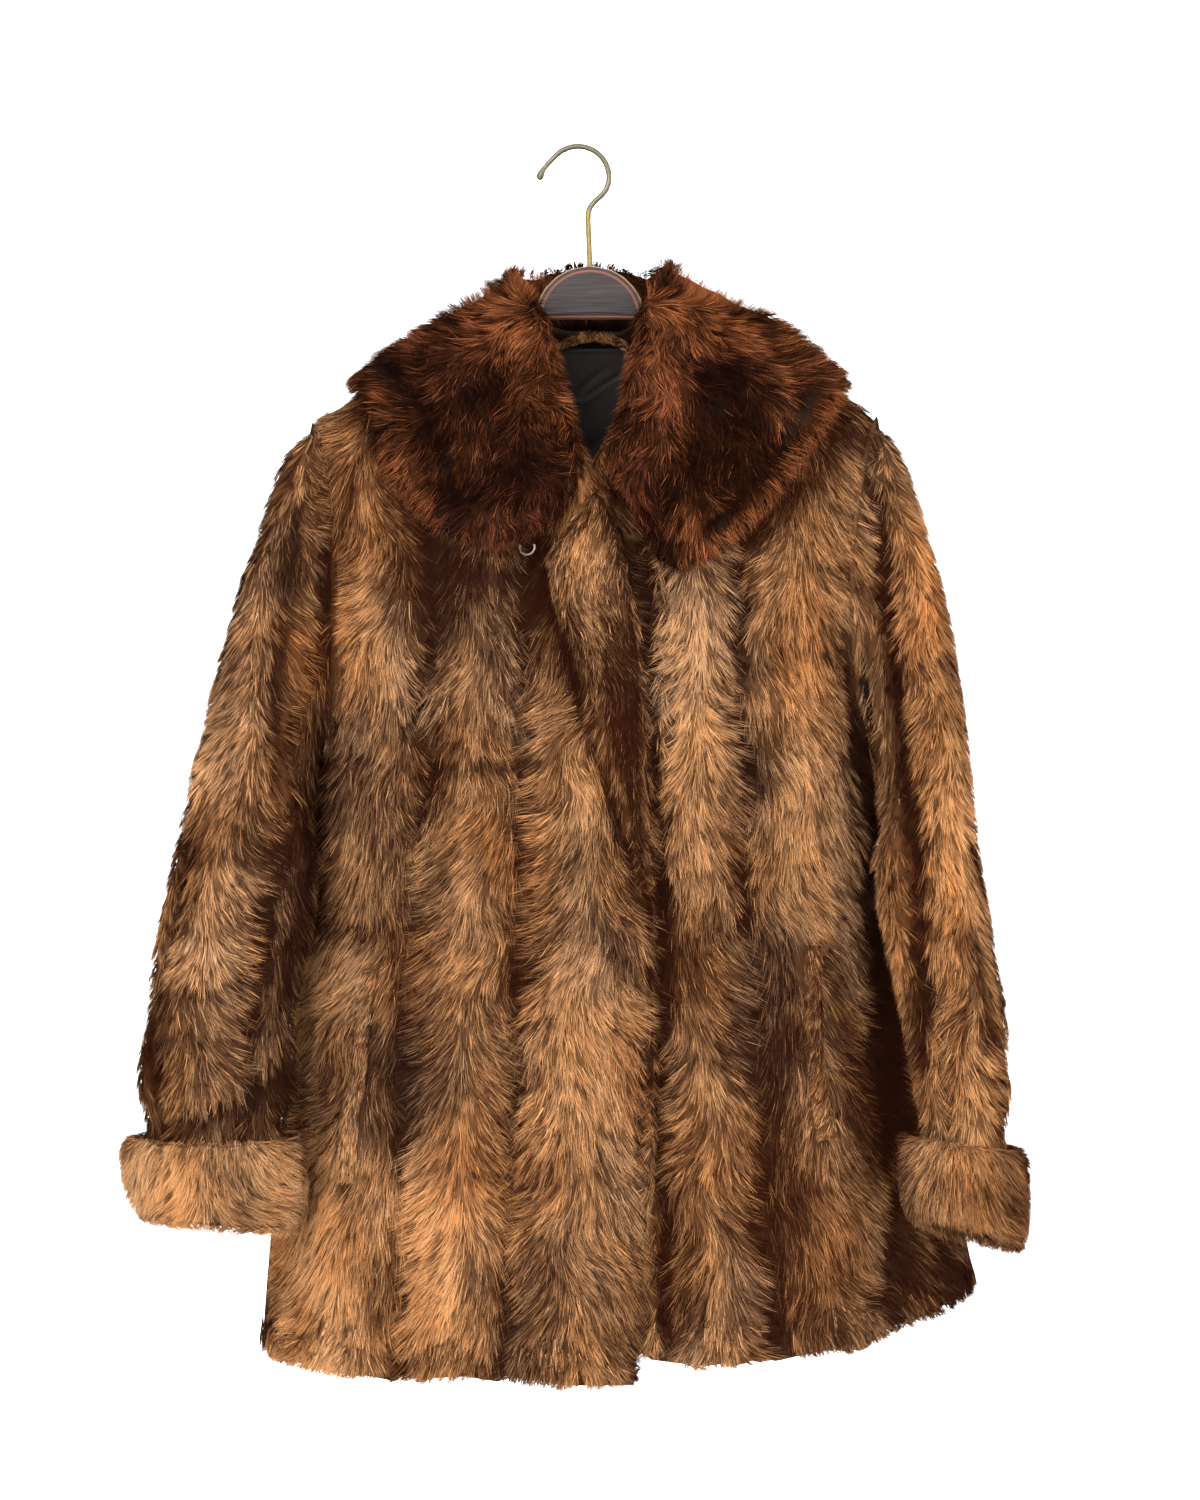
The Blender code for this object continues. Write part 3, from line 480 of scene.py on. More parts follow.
# lightness and warmth of the whole piece, then depth of its fur, deepest dent and fluff, which
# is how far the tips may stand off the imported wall, in mm, and how much of the dents it takes
FUR_KINDS = {
    "back": (-0.15, 0.2, 5, 3.8, 1.2, 1),
    "front_left": (0, 0, 5, 3.8, 1.2, 1),
    "front_right": (0, 0, 5, 3.8, 1.2, 1),
    "sleeve_left": (0.18, 0, 5, 3.8, 1.2, 1),
    "sleeve_right": (-0.1, 0, 5, 3.8, 1.2, 1),
    "cuff_left": (0, 0.2, 5, 3.8, 1.2, 0.7),
    "cuff_right": (0.6, 0, 5, 3.8, 1.2, 0.7),
    "collar": (-0.5, 0.1, 8, 5.5, 2.5, 1),
    "front_right_facing": (-0.75, 0.1, 3.5, 2, 1.2, 0.3),
    "pocket_welt_left": (0.1, 0, 1.5, 1, 1.2, 0.2),
    "pocket_welt_right": (0.35, 0, 1.5, 1, 1.2, 0.2),
    "hanging_loop": (0.35, 0.1, 1.2, 0.5, 0.5, 0.1),
}
print("front strips:", len(FRONT_SEAMS[0]) - 2)

# %% Chart the patches
# x, low, half width, half height, lightness, warmth
FRONT_PATCHES = [
    # partly darker fur, mostly painted shade under the collar's left wing
    (-102, 301, 41, 41, -0.8, 0.1),
    (-140, 343, 24, 62, 0.05, 0),
    (-85, 356, 22, 55, 0, -0.1),
    (-33, 329, 18, 41, -0.4, -0.2),
    (2, 254, 16, 20, 0.7, 0.3),
    (-144, 502, 25, 62, 0.4, -0.1),
    (-74, 488, 28, 38, -0.2, 0.4),
    (16, 447, 32, 41, 0.35, 0),
    (-67, 606, 32, 41, 0.2, 0.6),
    (-161, 606, 25, 34, 0.35, -0.1),
    (-119, 675, 18, 41, -0.5, -0.5),
    (-74, 703, 25, 41, 0.15, 0.7),
    (9, 662, 32, 62, -0.1, -0.5),
    (-171, 800, 31, 50, 1, 0),
    (-102, 780, 32, 75, 1, 0.4),
    (9, 786, 32, 62, 0, -0.3),
    (76, 378, 32, 78, 1.3, -0.6),
    (85, 509, 26, 41, 0.25, -0.1),
    (148, 363, 26, 60, 0.6, 0.1),
    (155, 502, 29, 80, 0.55, -0.1),
    (85, 582, 26, 25, -0.4, 0.4),
    (155, 578, 29, 34, -0.15, -0.5),
    (85, 655, 28, 41, -0.1, -0.6),
    (150, 680, 60, 120, -0.3, 0),
    (170, 641, 15, 41, 0.4, -0.6),
    (137, 696, 15, 41, -0.4, -0.2),
    (85, 766, 30, 41, 0.1, 0.1),
    (182, 773, 25, 48, 0, 0.3),
    (116, 821, 25, 34, -0.2, -0.5),
]
SLEEVE_PATCHES = [
    (-237, 341, 28, 70, 0, -0.1),
    (-195, 341, 10, 55, 0.1, 0.5),
    (-254, 440, 25, 40, 0.2, 0),
    (-265, 538, 22, 42, -0.1, -0.4),
    (-237, 524, 25, 40, 0.3, 0),
    (-286, 636, 20, 40, -0.3, 0.1),
    (-237, 643, 28, 60, -0.35, 0),
    (-209, 580, 15, 60, -0.2, 0),
    (244, 327, 21, 63, 0.85, 0.4),
    (261, 468, 18, 56, 0.8, 0.3),
    (268, 538, 18, 42, 0.3, 0.5),
    (247, 643, 20, 42, 0.1, -0.1),
    (290, 643, 12, 42, -0.1, 0.4),
    (233, 580, 12, 40, -0.3, 0),
]
COLLAR_PATCHES = [
    (-85, 217, 19, 14, 0.6, 0.6),
    (-48, 126, 21, 26, 0.6, 0.3),
    (-36, 158, 12, 28, 0.5, 0.2),
    (-102, 151, 17, 14, -0.3, -0.6),
    (-123, 158, 10, 10, -0.5, 0),
    (-85, 179, 24, 14, -0.35, -0.7),
    (-40, 224, 21, 28, -0.25, -0.8),
    (56, 122, 20, 22, 0.7, 0.2),
    (60, 182, 15, 34, 0.75, 0.1),
    (54, 245, 14, 17, 0.15, -0.9),
    (138, 165, 17, 14, 0.5, 0.1),
    (78, 273, 14, 10, 0.4, 0.5),
    (58, 290, 17, 14, -0.1, -0.6),
]
FACING_PATCHES = [
    # painted light on the lapel's upper part and painted shade on its lower part
    (12, 320, 26, 50, 0.65, 0.1),
    (36, 420, 22, 60, -0.5, -0.3),
]
print("patches:", len(FRONT_PATCHES + SLEEVE_PATCHES + COLLAR_PATCHES + FACING_PATCHES))

# %% Chart the creases
# points x, low along each crease, ridge or shadow, then half width, depth, lightness and warmth;
# below 0 the lightness is mostly painted shade, above 0 mostly a painted highlight
FRONT_LINES = [
    # creases and joins, darkened along their dents with painted shade
    ([(-102, 438), (-60, 441), (-18, 436)], 4, 3.8, -1.2, 0.2),
    ([(-192, 554), (-140, 556), (-102, 553)], 4, 3, -0.8, 0.2),
    ([(-144, 587), (-151, 616), (-153, 661), (-160, 690), (-167, 701), (-162, 736)],
     4, 5, -0.8, 0),
    ([(164, 570), (166, 647), (172, 691), (174, 704)], 3, 3, -0.5, 0),
    ([(-37, 576), (-26, 577)], 3, 2, -0.3, 0),
    ([(-36, 659), (-12, 658)], 3, 2, -0.3, 0),
    ([(30, 704), (50, 702)], 3, 2, -0.3, 0),
    ([(-42, 578), (-41, 660), (-43, 738)], 2.5, 3, -0.6, -0.3),
    ([(124, 662), (123, 731)], 2.5, 2.5, -0.5, -0.2),
    ([(144, 787), (147, 863)], 2.5, 2.5, -0.5, -0.2),
    ([(108, 300), (112, 360), (110, 400)], 4, 2.5, -0.5, -0.4),
    # painted shade in the armholes and where the sleeves meet the body, also over the fur bulged
    # into the gaps there
    ([(-172, 300), (-176, 470)], 7, 3, -0.5, -0.2),
    ([(203, 398), (206, 560)], 6, 3, -0.5, 0),
    ([(-181, 455), (-181, 500)], 17, -13, -0.8, 0),
    ([(209, 450), (209, 492)], 19, -13, -0.8, 0),
    ([(224, 560), (228, 700)], 13, 0, -1.1, 0),
    # painted shadow round the lapel and along the facing's fold, and down into the V of the neck
    ([(-27, 285), (-18, 325)], 11, 4, -2, 0),
    ([(-21, 299), (-8, 357), (20, 450), (48, 539)], 5, 4, -1.5, 0),
    ([(47, 290), (49, 345)], 7, 4, -1.3, 0),
    ([(-2, 210), (12, 234), (24, 254)], 6, 0, -0.8, 0),
    # painted shade on the right where the sleeve meets the body
    ([(190, 350), (193, 398), (200, 454), (207, 503), (211, 560), (213, 640)], 4, 4, -1.4, 0),
    # painted shadow beside the lapping front edge, and a painted highlight on that edge
    ([(46, 330), (52, 400), (57, 470), (60, 540), (60, 700), (62, 880)], 4.5, 4, -1.7, 0),
    ([(46, 545), (51, 700), (53, 880)], 3, -1, 0.35, 0.2),
    # painted shadow under the collar's edge
    ([(-150, 190), (-133, 238), (-100, 281), (-75, 303), (-50, 308), (-22, 300)],
     9, 1, -0.75, 0),
    ([(12, 265), (30, 300), (58, 322), (89, 313), (117, 292), (143, 264), (172, 228), (188, 192)],
     9, 1, -0.75, 0),
]
FACING_LINES = [
    # a painted highlight along the facing's free edge
    ([(40, 328), (46, 398), (49, 468), (52, 540)], 3, -1, 1.1, 0.4),
]
SLEEVE_LINES = [
    # seams and creases, darkened along their dents with painted shade
    ([(-202, 257), (-212, 398), (-209, 454)], 5, 4.5, -0.7, 0),
    ([(-301, 617), (-286, 709)], 4, 3, -0.4, 0),
    ([(-268, 503), (-230, 508), (-190, 489)], 5, 3, -0.6, 0),
    ([(-294, 602), (-250, 598), (-214, 584)], 5, 3, -0.6, 0),
    ([(-270, 690), (-235, 680), (-205, 655)], 5, 3, -0.6, 0),
    # a ridge, lightened with a painted highlight
    ([(-252, 300), (-262, 400), (-268, 470)], 6, -1, 0.35, 0),
    # creases, with painted shade
    ([(234, 523), (261, 535)], 4, 3, -0.6, 0),
    ([(238, 547), (278, 567), (284, 600), (292, 629)], 4, 3, -0.6, 0.1),
    ([(240, 647), (292, 660)], 4, 2.5, -0.5, 0),
    # painted shadow along each sleeve where it meets the body
    ([(212, 260), (223, 398), (229, 440), (232, 510), (232, 580), (237, 650)], 4.5, 3.8, -1.4, 0),
    ([(-176, 330), (-177, 400), (-184, 503), (-197, 597), (-201, 691)], 8, 2, -0.9, 0),
    # creases, with painted shade
    ([(188, 289), (230, 288)], 3, 3, -0.5, 0),
    ([(214, 247), (215, 285)], 3, 2.5, -0.5, 0),
    # fur bulged into the armpit gaps, darkened with painted shade
    ([(-184, 455), (-184, 500)], 17, -13, -0.8, 0),
    ([(209, 450), (209, 492)], 19, -13, -0.8, 0),
]
COLLAR_LINES = [
    ([(52, 92), (70, 98)], 9, 8, 0, 0),
    ([(-42, 98), (-58, 100)], 9, 5, 0, 0),
    # a crease, with painted shade
    ([(-134, 154), (-109, 186), (-93, 219), (-87, 238)], 6, 6, -1, 0),
    # the left wing's rolled edge with a painted highlight, and painted shade below it
    ([(-143, 172), (-127, 224), (-96, 266)], 8, -1, 0.6, 0.2),
    ([(-106, 238), (-75, 259)], 8, 3, -0.5, 0),
    # a painted purple-grey sheen along the lower edge
    ([(-96, 273), (-54, 287), (-12, 262)], 8, 0, 0.1, -0.8),
    ([(-19, 140), (-12, 189), (2, 224)], 6, -1, 0.3, 0.4),
    # the right wing's rolled edge with a painted highlight, and painted shade in the crease and
    # hollow below it
    ([(181, 179), (165, 213), (141, 248), (117, 276), (89, 296)], 7, -1.5, 0.65, 0.3),
    ([(169, 179), (152, 206), (127, 238), (96, 273)], 6, 4, -0.8, 0),
    ([(103, 168), (113, 203), (106, 245)], 14, 2.5, -0.5, 0),
    ([(78, 120), (120, 140)], 12, 0, 0.35, 0.2),
]
# the back hangs in like folds, with joins of its own, each darkened along its dent with painted
# shade
BACK_LINES = [
    ([(-120, 420), (-70, 424), (-20, 418)], 4, 3, -0.4, 0.1),
    ([(60, 560), (120, 557)], 4, 2.5, -0.4, 0.1),
    ([(-160, 640), (-105, 644)], 4, 2.5, -0.4, 0),
    ([(20, 700), (75, 697)], 3, 2, -0.3, 0),
    ([(-60, 270), (0, 266), (70, 272)], 4, 2.5, -0.4, 0.1),
]
# x, low and the way the collar's hair points there, in degrees from straight down to the left
COLLAR_STROKES = [
    (-50, 102, -130), (-102, 133, -110), (-141, 154, -95), (-148, 182, -70), (-134, 217, -50),
    (-102, 259, -35), (-75, 280, -10), (-50, 280, 5), (-22, 273, 20), (-2, 245, 30),
    (-12, 189, 15), (-19, 154, 0), (-26, 126, -10), (-54, 120, -60), (-54, 161, 10),
    (-82, 189, -20), (-96, 217, -30), (-54, 217, 15), (-68, 252, 0), (58, 102, 150),
    (99, 113, 110), (148, 140, 100), (179, 172, 80), (172, 203, 60), (148, 238, 45),
    (117, 276, 30), (85, 294, 10), (58, 297, -5), (37, 273, -20), (19, 238, -30),
    (26, 203, -25), (37, 168, -10), (44, 133, 0), (58, 189, -15), (85, 224, -5),
    (113, 189, 10), (141, 175, 40), (85, 154, 10), (127, 140, 60), (72, 126, 30),
]
CHARTS = {
    "front": (FRONT_PATCHES, FRONT_LINES),
    "sleeve": (SLEEVE_PATCHES, SLEEVE_LINES),
    "cuff": (SLEEVE_PATCHES, SLEEVE_LINES),
    "collar": (COLLAR_PATCHES, COLLAR_LINES),
    "facing": (FACING_PATCHES, FACING_LINES),
    "back": ([], BACK_LINES),
}
print("creases:", sum(len(lines) for patches, lines in CHARTS.values()))

# %% Chart the marbling
# share, bump size in mm along x, y and z, seed
STRIP_MARBLING = [(0.26, (34, 34, 60), 12), (0.2, (70, 70, 22), 31), (0.14, (6, 6, 26), 13)]
STRIP_BLUSH = [(0.6, (40, 40, 70), 14), (0.3, (14, 14, 34), 15)]
STRIP_WANDER = [(0.14, (12, 12, 15), 20), (0.12, (40, 40, 50), 29)]
STRIP_WAVES = [(1.4, (16, 16, 26), 16), (1.9, 34, 17)]
COLLAR_MARBLING = [(0.34, (30, 30, 34), 22), (0.24, (8, 8, 13), 23)]
COLLAR_BLUSH = [(0.45, 40, 24), (0.3, 13, 25)]
COLLAR_WAVES = [(2.4, 20, 26), (2, 40, 27)]

# %% [markdown]
# ## Soft random marbling
# Fur is never even. A lattice of random numbers, blended smoothly between its points, gives
# values that drift over any chosen distance. It is seeded, so each run gives the same fur.

# %% Write the noise
NOISE_SIDE = 48
BORDER = 1.9


def noise(points, size_mm, seed):
    """Smooth random values from about -1 to 1, whose bumps are about size_mm across."""
    axes = points.shape[1]
    table = np.random.default_rng(seed).uniform(-1.4, 1.4, (NOISE_SIDE,) * axes)
    cell = points / (np.array(size_mm) * MM)
    low = np.floor(cell).astype(int)
    share = cell - low
    share = share * share * (3 - 2 * share)
    total = np.zeros(len(points))
    for corner in itertools.product((0, 1), repeat=axes):
        weight = np.prod(np.where(np.array(corner), share, 1 - share), axis=1)
        total += weight * table[tuple(((low + corner) % NOISE_SIDE).T)]
    return total


def drift(points, rows):
    """The sum of several noises, each with its share."""
    return sum(share * noise(points, size_mm, seed) for share, size_mm, seed in rows)


def marbling(points, rows):
    """The same with clearer borders between light and dark."""
    return sum(share * np.tanh(BORDER * noise(points, size_mm, seed))
               for share, size_mm, seed in rows)


def unit(vectors):
    """Vectors of the same direction and length 1."""
    return vectors / np.maximum(np.linalg.norm(vectors, axis=-1, keepdims=True), 1e-9)


def distance_to_line(x, low, line):
    """Distance in mm from each point to a line through the given points, as seen in front."""
    best = np.full(len(x), 1e9)
    place = np.stack([x, low], -1)
    for start, end in zip(line, line[1:]):
        start, end = np.array(start, float), np.array(end, float)
        run = end - start
        share = np.clip((place - start) @ run / (run @ run), 0, 1)
        best = np.minimum(best, np.linalg.norm(place - start - share[:, None] * run, axis=1))
    return best


# %% [markdown]
# ## Strips and feathers
# Every place on the fur gets a strip number and its place across the strip. From these follow
# the turn of the hair, its colour, and how deep the fur is dented there: deep at the seams and
# creases, high on the strip's ridge. The colour carries painted shade in the seams and at the
# joins between skins, and a painted highlight on the ridge and its crest.

# %% Lay out the strips
SEAM_TURN = math.radians(46)
STRIP_SWAY = math.radians(36)
COLLAR_SWAY = math.radians(44)
# in mm: how far the marbling hangs down at the seams, length of one skin, half width of its join
CHEVRON_DROP = 36
SKIN_LENGTH = 128
JOIN_WIDTH = 4
# half width of a seam and of a strip's bright crest, as a share of half the strip
SEAM_WIDTH = 0.13
# painted highlight on a strip's rounded middle; light of its crest, partly its own and partly
# painted highlight; dark at its seams, partly the join's own and partly painted shade; painted
# shadow at its joins, where one skin lies over the next; light of its own skins
RIDGE_PAINTED_HIGHLIGHT, CREST_TONE_AND_PAINTED_HIGHLIGHT, SEAM_TONE_AND_PAINTED_SHADE, JOIN_PAINTED_SHADOW, SKIN_LIGHT = 0.26, 0.4, -0.95, -0.25, 0.2
STRIP_LIGHTNESS = -0.1
SKIN_WARMTH, SEAM_WARMTH = 0.25, -0.2
SEAM_DENT, JOIN_DENT = 3.0, 1.2
# strips, and skins in each strip, that get a random tone of their own
TONE_SETS = (60, 12)
# half width and half depth in mm of the tubes and of the body, for counting strips round them
TUBE_HALVES = (60, 42)
BODY_HALVES = (235, 85)
# the collar behind this and below this is the inside of the neck, if it looks forward
NECK_Y, NECK_Z, FORWARD = 0.015, -0.114, -0.2
# painted shade inside the neck, and painted light on the rim that stands round it
NECK_PAINTED_SHADE, RIM_PAINTED_LIGHT = -1.2, 1.1
# in mm, how far the fur bulges at most
HIGHEST_BULGE = 7
# from warmth, lightness and dent to tone and value; each mm of dent darkens the value as
# painted shade
MIDDLE_TONE, WARMTH_SHARE = 0.5, 0.2
MIDDLE_VALUE, LIGHT_SHARE, DENT_SHADE = 0.365, 0.4, 0.015


def round_path(spokes, halves_mm, strips):
    """How far round a flat tube each spoke points, in strips, from the middle of the front."""
    half_width, half_depth = np.array(halves_mm) * MM
    angles = np.linspace(-math.pi, math.pi, 181)
    steps = np.hypot(half_width * np.cos(angles), half_depth * np.sin(angles))
    path = np.concatenate([[0], np.cumsum((steps[1:] + steps[:-1]) / 2)])
    path = (path - path[90]) / path[-1] * strips
    angle = np.arctan2(spokes[:, 0] / half_width, -spokes[:, 1] / half_depth)
    return np.interp(angle, angles, path)


def strip_of(node, places, middle):
    """Strip number and place across it, from -1 at one seam through 0 to 1 at the other."""
    x, low = places[:, 0] / MM, -places[:, 2] / MM
    if node in FRONTS:
        lows = [row[0] for row in FRONT_SEAMS]
        seams = np.array([np.interp(low, lows, column) for column in zip(*FRONT_SEAMS)][1:])
        number = np.clip((x > seams).sum(0) - 1, 0, len(seams) - 2)
        left = np.take_along_axis(seams, number[None], 0)[0]
        right = np.take_along_axis(seams, number[None] + 1, 0)[0]
        return number, np.clip((2 * x - left - right) / (right - left), -1, 1)
    spokes = places - middle(places[:, 2])
    if node in TUBES:
        strips, turned = TUBE_STRIPS[node]
        path = round_path(spokes, TUBE_HALVES, strips) + turned
    else:
        path = round_path(spokes, BODY_HALVES, BACK_STRIPS)
    number = np.floor(path + 0.5).astype(int)
    return number + 20, (path + 0.5 - number) * 2 - 1


def add_charts(x, low, weight, work, patches, lines):
    """Adds the patches and lines of one chart to the fur's colour and dents, painted light among
    them.
    """
    for px, pl, half_width, half_height, lightness, warmth in patches:
        share = weight * np.exp(-((x - px) / half_width) ** 2 - ((low - pl) / half_height) ** 2)
        work["light"] += lightness * share
        work["warm"] += warmth * share
    for line, half_width, depth, lightness, warmth in lines:
        share = weight * np.exp(-(distance_to_line(x, low, line) / half_width) ** 2)
        work["dent"] += depth * share
        work["light"] += lightness * share
        work["warm"] += warmth * share


def strip_work(node, places, middle):
    """Feathered strips: the hair turns out to the seams, low and dark in tone and painted shade.
    """
    low = -places[:, 2] / MM
    number, across = strip_of(node, places, middle)
    across = across + drift(places, STRIP_WANDER)
    reach = np.minimum(np.abs(across), 1)
    warped = places.copy()
    warped[:, 2] += CHEVRON_DROP * MM * reach
    strips, skins = TONE_SETS
    tones = np.random.default_rng(5).uniform(-1, 1, (strips, skins, 2))
    starts = np.random.default_rng(6).uniform(0, 1, strips)
    skin = low / SKIN_LENGTH + starts[number] + 0.05 * noise(places, 40, 18)
    cell = np.floor(skin).astype(int) % skins
    join = np.exp(-((skin - np.round(skin)) * SKIN_LENGTH / JOIN_WIDTH) ** 2)
    seam = np.exp(-((1 - reach) / SEAM_WIDTH) ** 2)
    crest = np.exp(-(reach / SEAM_WIDTH) ** 2) * np.clip(0.4 + noise(places, 50, 30), 0, 1)
    return {
        "turn": SEAM_TURN * np.sign(across) * reach ** 0.85 + STRIP_SWAY * noise(places, 34, 11),
        "light": (RIDGE_PAINTED_HIGHLIGHT * (1 - reach) + CREST_TONE_AND_PAINTED_HIGHLIGHT * crest + JOIN_PAINTED_SHADOW * join
                  + SEAM_TONE_AND_PAINTED_SHADE * seam * (1 + 0.7 * noise(warped, 40, 19)) + STRIP_LIGHTNESS
                  + SKIN_LIGHT * tones[number, cell, 0] + marbling(warped, STRIP_MARBLING)),
        "warm": (SKIN_WARMTH * tones[number, cell, 1] + SEAM_WARMTH * seam
                 + marbling(warped, STRIP_BLUSH)),
        "dent": SEAM_DENT * seam + JOIN_DENT * join + drift(places, STRIP_WAVES),
    }


def collar_work(places, normals):
    """The collar is one long-haired skin, marbled more than it is striped, with painted shade
    inside the neck and painted light on its rim.
    """
    # the inside of the neck, which gets painted shade
    inside = (places[:, 1] > NECK_Y) & (places[:, 2] < NECK_Z) & (normals[:, 1] < FORWARD)
    return {
        "turn": COLLAR_SWAY * noise(places, 17, 21),
        "light": (marbling(places, COLLAR_MARBLING) + NECK_PAINTED_SHADE * inside
                  + RIM_PAINTED_LIGHT * neck_rim(places, normals)),
        "warm": marbling(places, COLLAR_BLUSH),
        "dent": drift(places, COLLAR_WAVES),
    }


def furriers_work(node, places, normals):
    """Turn, lightness, warmth and dent of the fur at each place of a piece."""
    lightness, warmth, depth, deepest, fluff, share = FUR_KINDS[node]
    middle = walls[node]["middle"]
    work = collar_work(places, normals) if node == "collar" else strip_work(node, places, middle)
    front = np.clip(0.5 - 2 * normals[:, 1], 0, 1)
    for kind in node.split("_")[::-1]:
        if kind in CHARTS:
            weight = 1 - front if kind == "back" else front
            add_charts(places[:, 0] / MM, -places[:, 2] / MM, weight, work, *CHARTS[kind])
            break
    work["light"] = work["light"] + lightness
    work["warm"] = work["warm"] + warmth
    work["dent"] = np.clip(work["dent"] * share, -HIGHEST_BULGE, deepest)
    return work


def hair_numbers(work):
    """Tone and value, from 0 to 1, that the hair's material reads."""
    tone = MIDDLE_TONE + WARMTH_SHARE * work["warm"]
    return tone, MIDDLE_VALUE + LIGHT_SHARE * work["light"] - DENT_SHADE * work["dent"]


# %% [markdown]
# ## Growing the hair
# One hair is one thin triangle: real fur is far finer, so many simple hairs look better than
# a few detailed ones. Eight roots stand together as a lock and lean towards one tip, as
# real fur parts into points. Roots are dark, tips are light: partly the underfur's own colour,
# partly painted shade deep in the fur. A share of the hairs carry a painted highlight.

# %% Grow hair on one wall
HAIRS_IN_LOCK = 8
LOCK_RADIUS = 2.4 * MM
# how much of their first spread the tips of a lock lose
GATHER = 0.3
# in degrees, how unlike each other are the turns of locks, of hairs and of hairs on the neck's
# rim, and the rolls of hairs
LOCK_TURN, HAIR_TURN, RIM_TURN, HAIR_ROLL = np.radians((5, 7, 20, 30))
# the same for light, warmth and rise
LOCK_LIGHT, LOCK_WARMTH, LOCK_RISE = 0.09, 0.1, 0.05
HAIR_VALUE, HAIR_TONE, HAIR_RISE = 0.19, 0.03, 0.1
# least and most, as shares of the usual length and width
LOCK_LENGTHS = (0.8, 1.2)
HAIR_LENGTHS = (0.8, 1.15)
HAIR_WIDTHS = (0.7, 1.3)
# height of the tips, as a share of the fur's depth
RISE = 0.95
# a few guard hairs are longer and thinner and stand higher, most of all on the collar
GUARD_SHARE, GUARD_LENGTH, GUARD_WIDTH = 0.06, 1.2, 0.7
GUARD_RISE, COLLAR_GUARD_RISE = 1.25, 1.35
# a share of the hairs get a painted highlight: their value is raised this many times
HIGHLIT_HAIR_SHARE, HAIR_PAINTED_HIGHLIGHT = 0.11, 1.6
# roots darker than tips: partly the underfur's own colour, partly painted shade deep in the fur
ROOT_VALUE, TIP_VALUE = 0.55, 1.15
# the hairs on the neck's rim are this much shorter and thinner, and fluffier in mm
RIM_SHORTER, RIM_THINNER, RIM_FLUFF = 0.5, 0.4, 3
# each mm that the fur bulges beyond the first adds the second to its fluff
BULGE, BULGE_FLUFF = 4, 2.6
# how far places are rounded out from the flat triangles, and how many spare ones are drawn
ROUNDING, SPARE_TRIALS = 0.7, 1.7
# below this cosine to its face, a corner's normal belongs to a sharp edge and is left out
SHARP_EDGE = 0.8
# how far out the hair falls, against 1 down, and how much of its stand off the wall is combed flat
FLARE = 0.35
COMBED = 0.9
# how far in mm a brush stroke reaches
STROKE_REACH = 20
# where the neck's rim begins and is full, its corners' x and their half width in mm, and how far
# up it looks at least
RIM_Z, RIM_HEIGHT, RIM_CORNERS_X, CORNER_WIDTH, UPWARD = -0.118, 0.012, (63, -54), 12, 0.3
# a lock whose edge stands this far off the wall steps back behind the wall's edge
EDGE_PLAY = 0.4 * MM


def scatter(wall, count, rng):
    """Evenly spread places on the outer triangles, rounded out between their corners."""
    triangles = wall["triangles"][wall["outside"]]
    corners, slopes = wall["points"][triangles], wall["normals"][triangles]
    sides = corners[:, 1:] - corners[:, :1]
    across = np.cross(sides[:, 0], sides[:, 1])
    ladder = np.cumsum(np.linalg.norm(across, axis=1) / 2)
    flat = unit(across)[:, None]
    bent = (slopes * flat).sum(-1, keepdims=True) < SHARP_EDGE
    slopes = np.where(bent, flat, slopes)
    trials = int(count * SPARE_TRIALS)
    pick = np.searchsorted(ladder, (np.arange(trials) + rng.random(trials)) / trials * ladder[-1])
    pick = np.minimum(pick, len(triangles) - 1)
    first, second = rng.random((2, trials))
    flip = first + second > 1
    first, second = np.where(flip, 1 - first, first), np.where(flip, 1 - second, second)
    weights = np.stack([1 - first - second, first, second], -1)[..., None]
    places = (corners[pick] * weights).sum(1)
    clear = np.flatnonzero([is_open(*pair) for pair in zip(places, flat[pick, 0])])
    height = ((places[:, None] - corners[pick]) * slopes[pick]).sum(-1, keepdims=True)
    rounded = (weights * (places[:, None] - height * slopes[pick])).sum(1)
    places = places + ROUNDING * (rounded - places)
    normals = unit((slopes[pick] * weights).sum(1))
    kept = np.sort(rng.permutation(clear)[:count])
    return places[kept], normals[kept]


def fall_vectors(node, places, normals, middle):
    """The way the hair falls: down, and outward from the middle on the shoulders."""
    spokes = places - middle(places[:, 2])
    spokes[:, 2] = 0
    fall = unit(spokes) * (1.0 if node == "collar" else FLARE)
    fall[:, 2] -= 1.0
    if node == "collar":
        fall = brushed(places, normals, fall)
    steep = (fall * normals).sum(1, keepdims=True)
    fall = unit(fall - COMBED * steep * normals)
    if node == "collar":
        upward = unit(spokes * 0.2 + Vector((0, 0, 0.06)))
        fall = unit(fall + 2 * neck_rim(places, normals)[:, None] * upward)
    return fall


def neck_rim(places, normals):
    """1 on the upright rim that stands round the neck, 0 elsewhere and on its two corners."""
    high = np.clip((places[:, 2] - RIM_Z) / RIM_HEIGHT, 0, 1)
    corners = sum(np.exp(-((places[:, 0] / MM - x) / CORNER_WIDTH) ** 2) for x in RIM_CORNERS_X)
    return high * np.clip((normals[:, 2] - UPWARD) / UPWARD, 0, 1) * (1 - corners)


def brushed(places, normals, fall):
    """On the front of the collar the hair follows the brush strokes."""
    x, low = places[:, 0] / MM, -places[:, 2] / MM
    stroke_x, stroke_low, degrees = np.array(COLLAR_STROKES, float).T
    turns = np.radians(degrees)
    far = (x[:, None] - stroke_x) ** 2 + (low[:, None] - stroke_low) ** 2
    weight = np.exp(-far / STROKE_REACH ** 2) + 1e-9
    sway = (weight * np.sin(turns)).sum(1)
    drop = (weight * -np.cos(turns)).sum(1)
    stroke = unit(np.stack([sway, np.zeros(len(x)), drop], -1))
    front = np.clip(0.5 - 1.6 * normals[:, 1], 0, 1)[:, None]
    return front * stroke + (1 - front) * unit(fall)


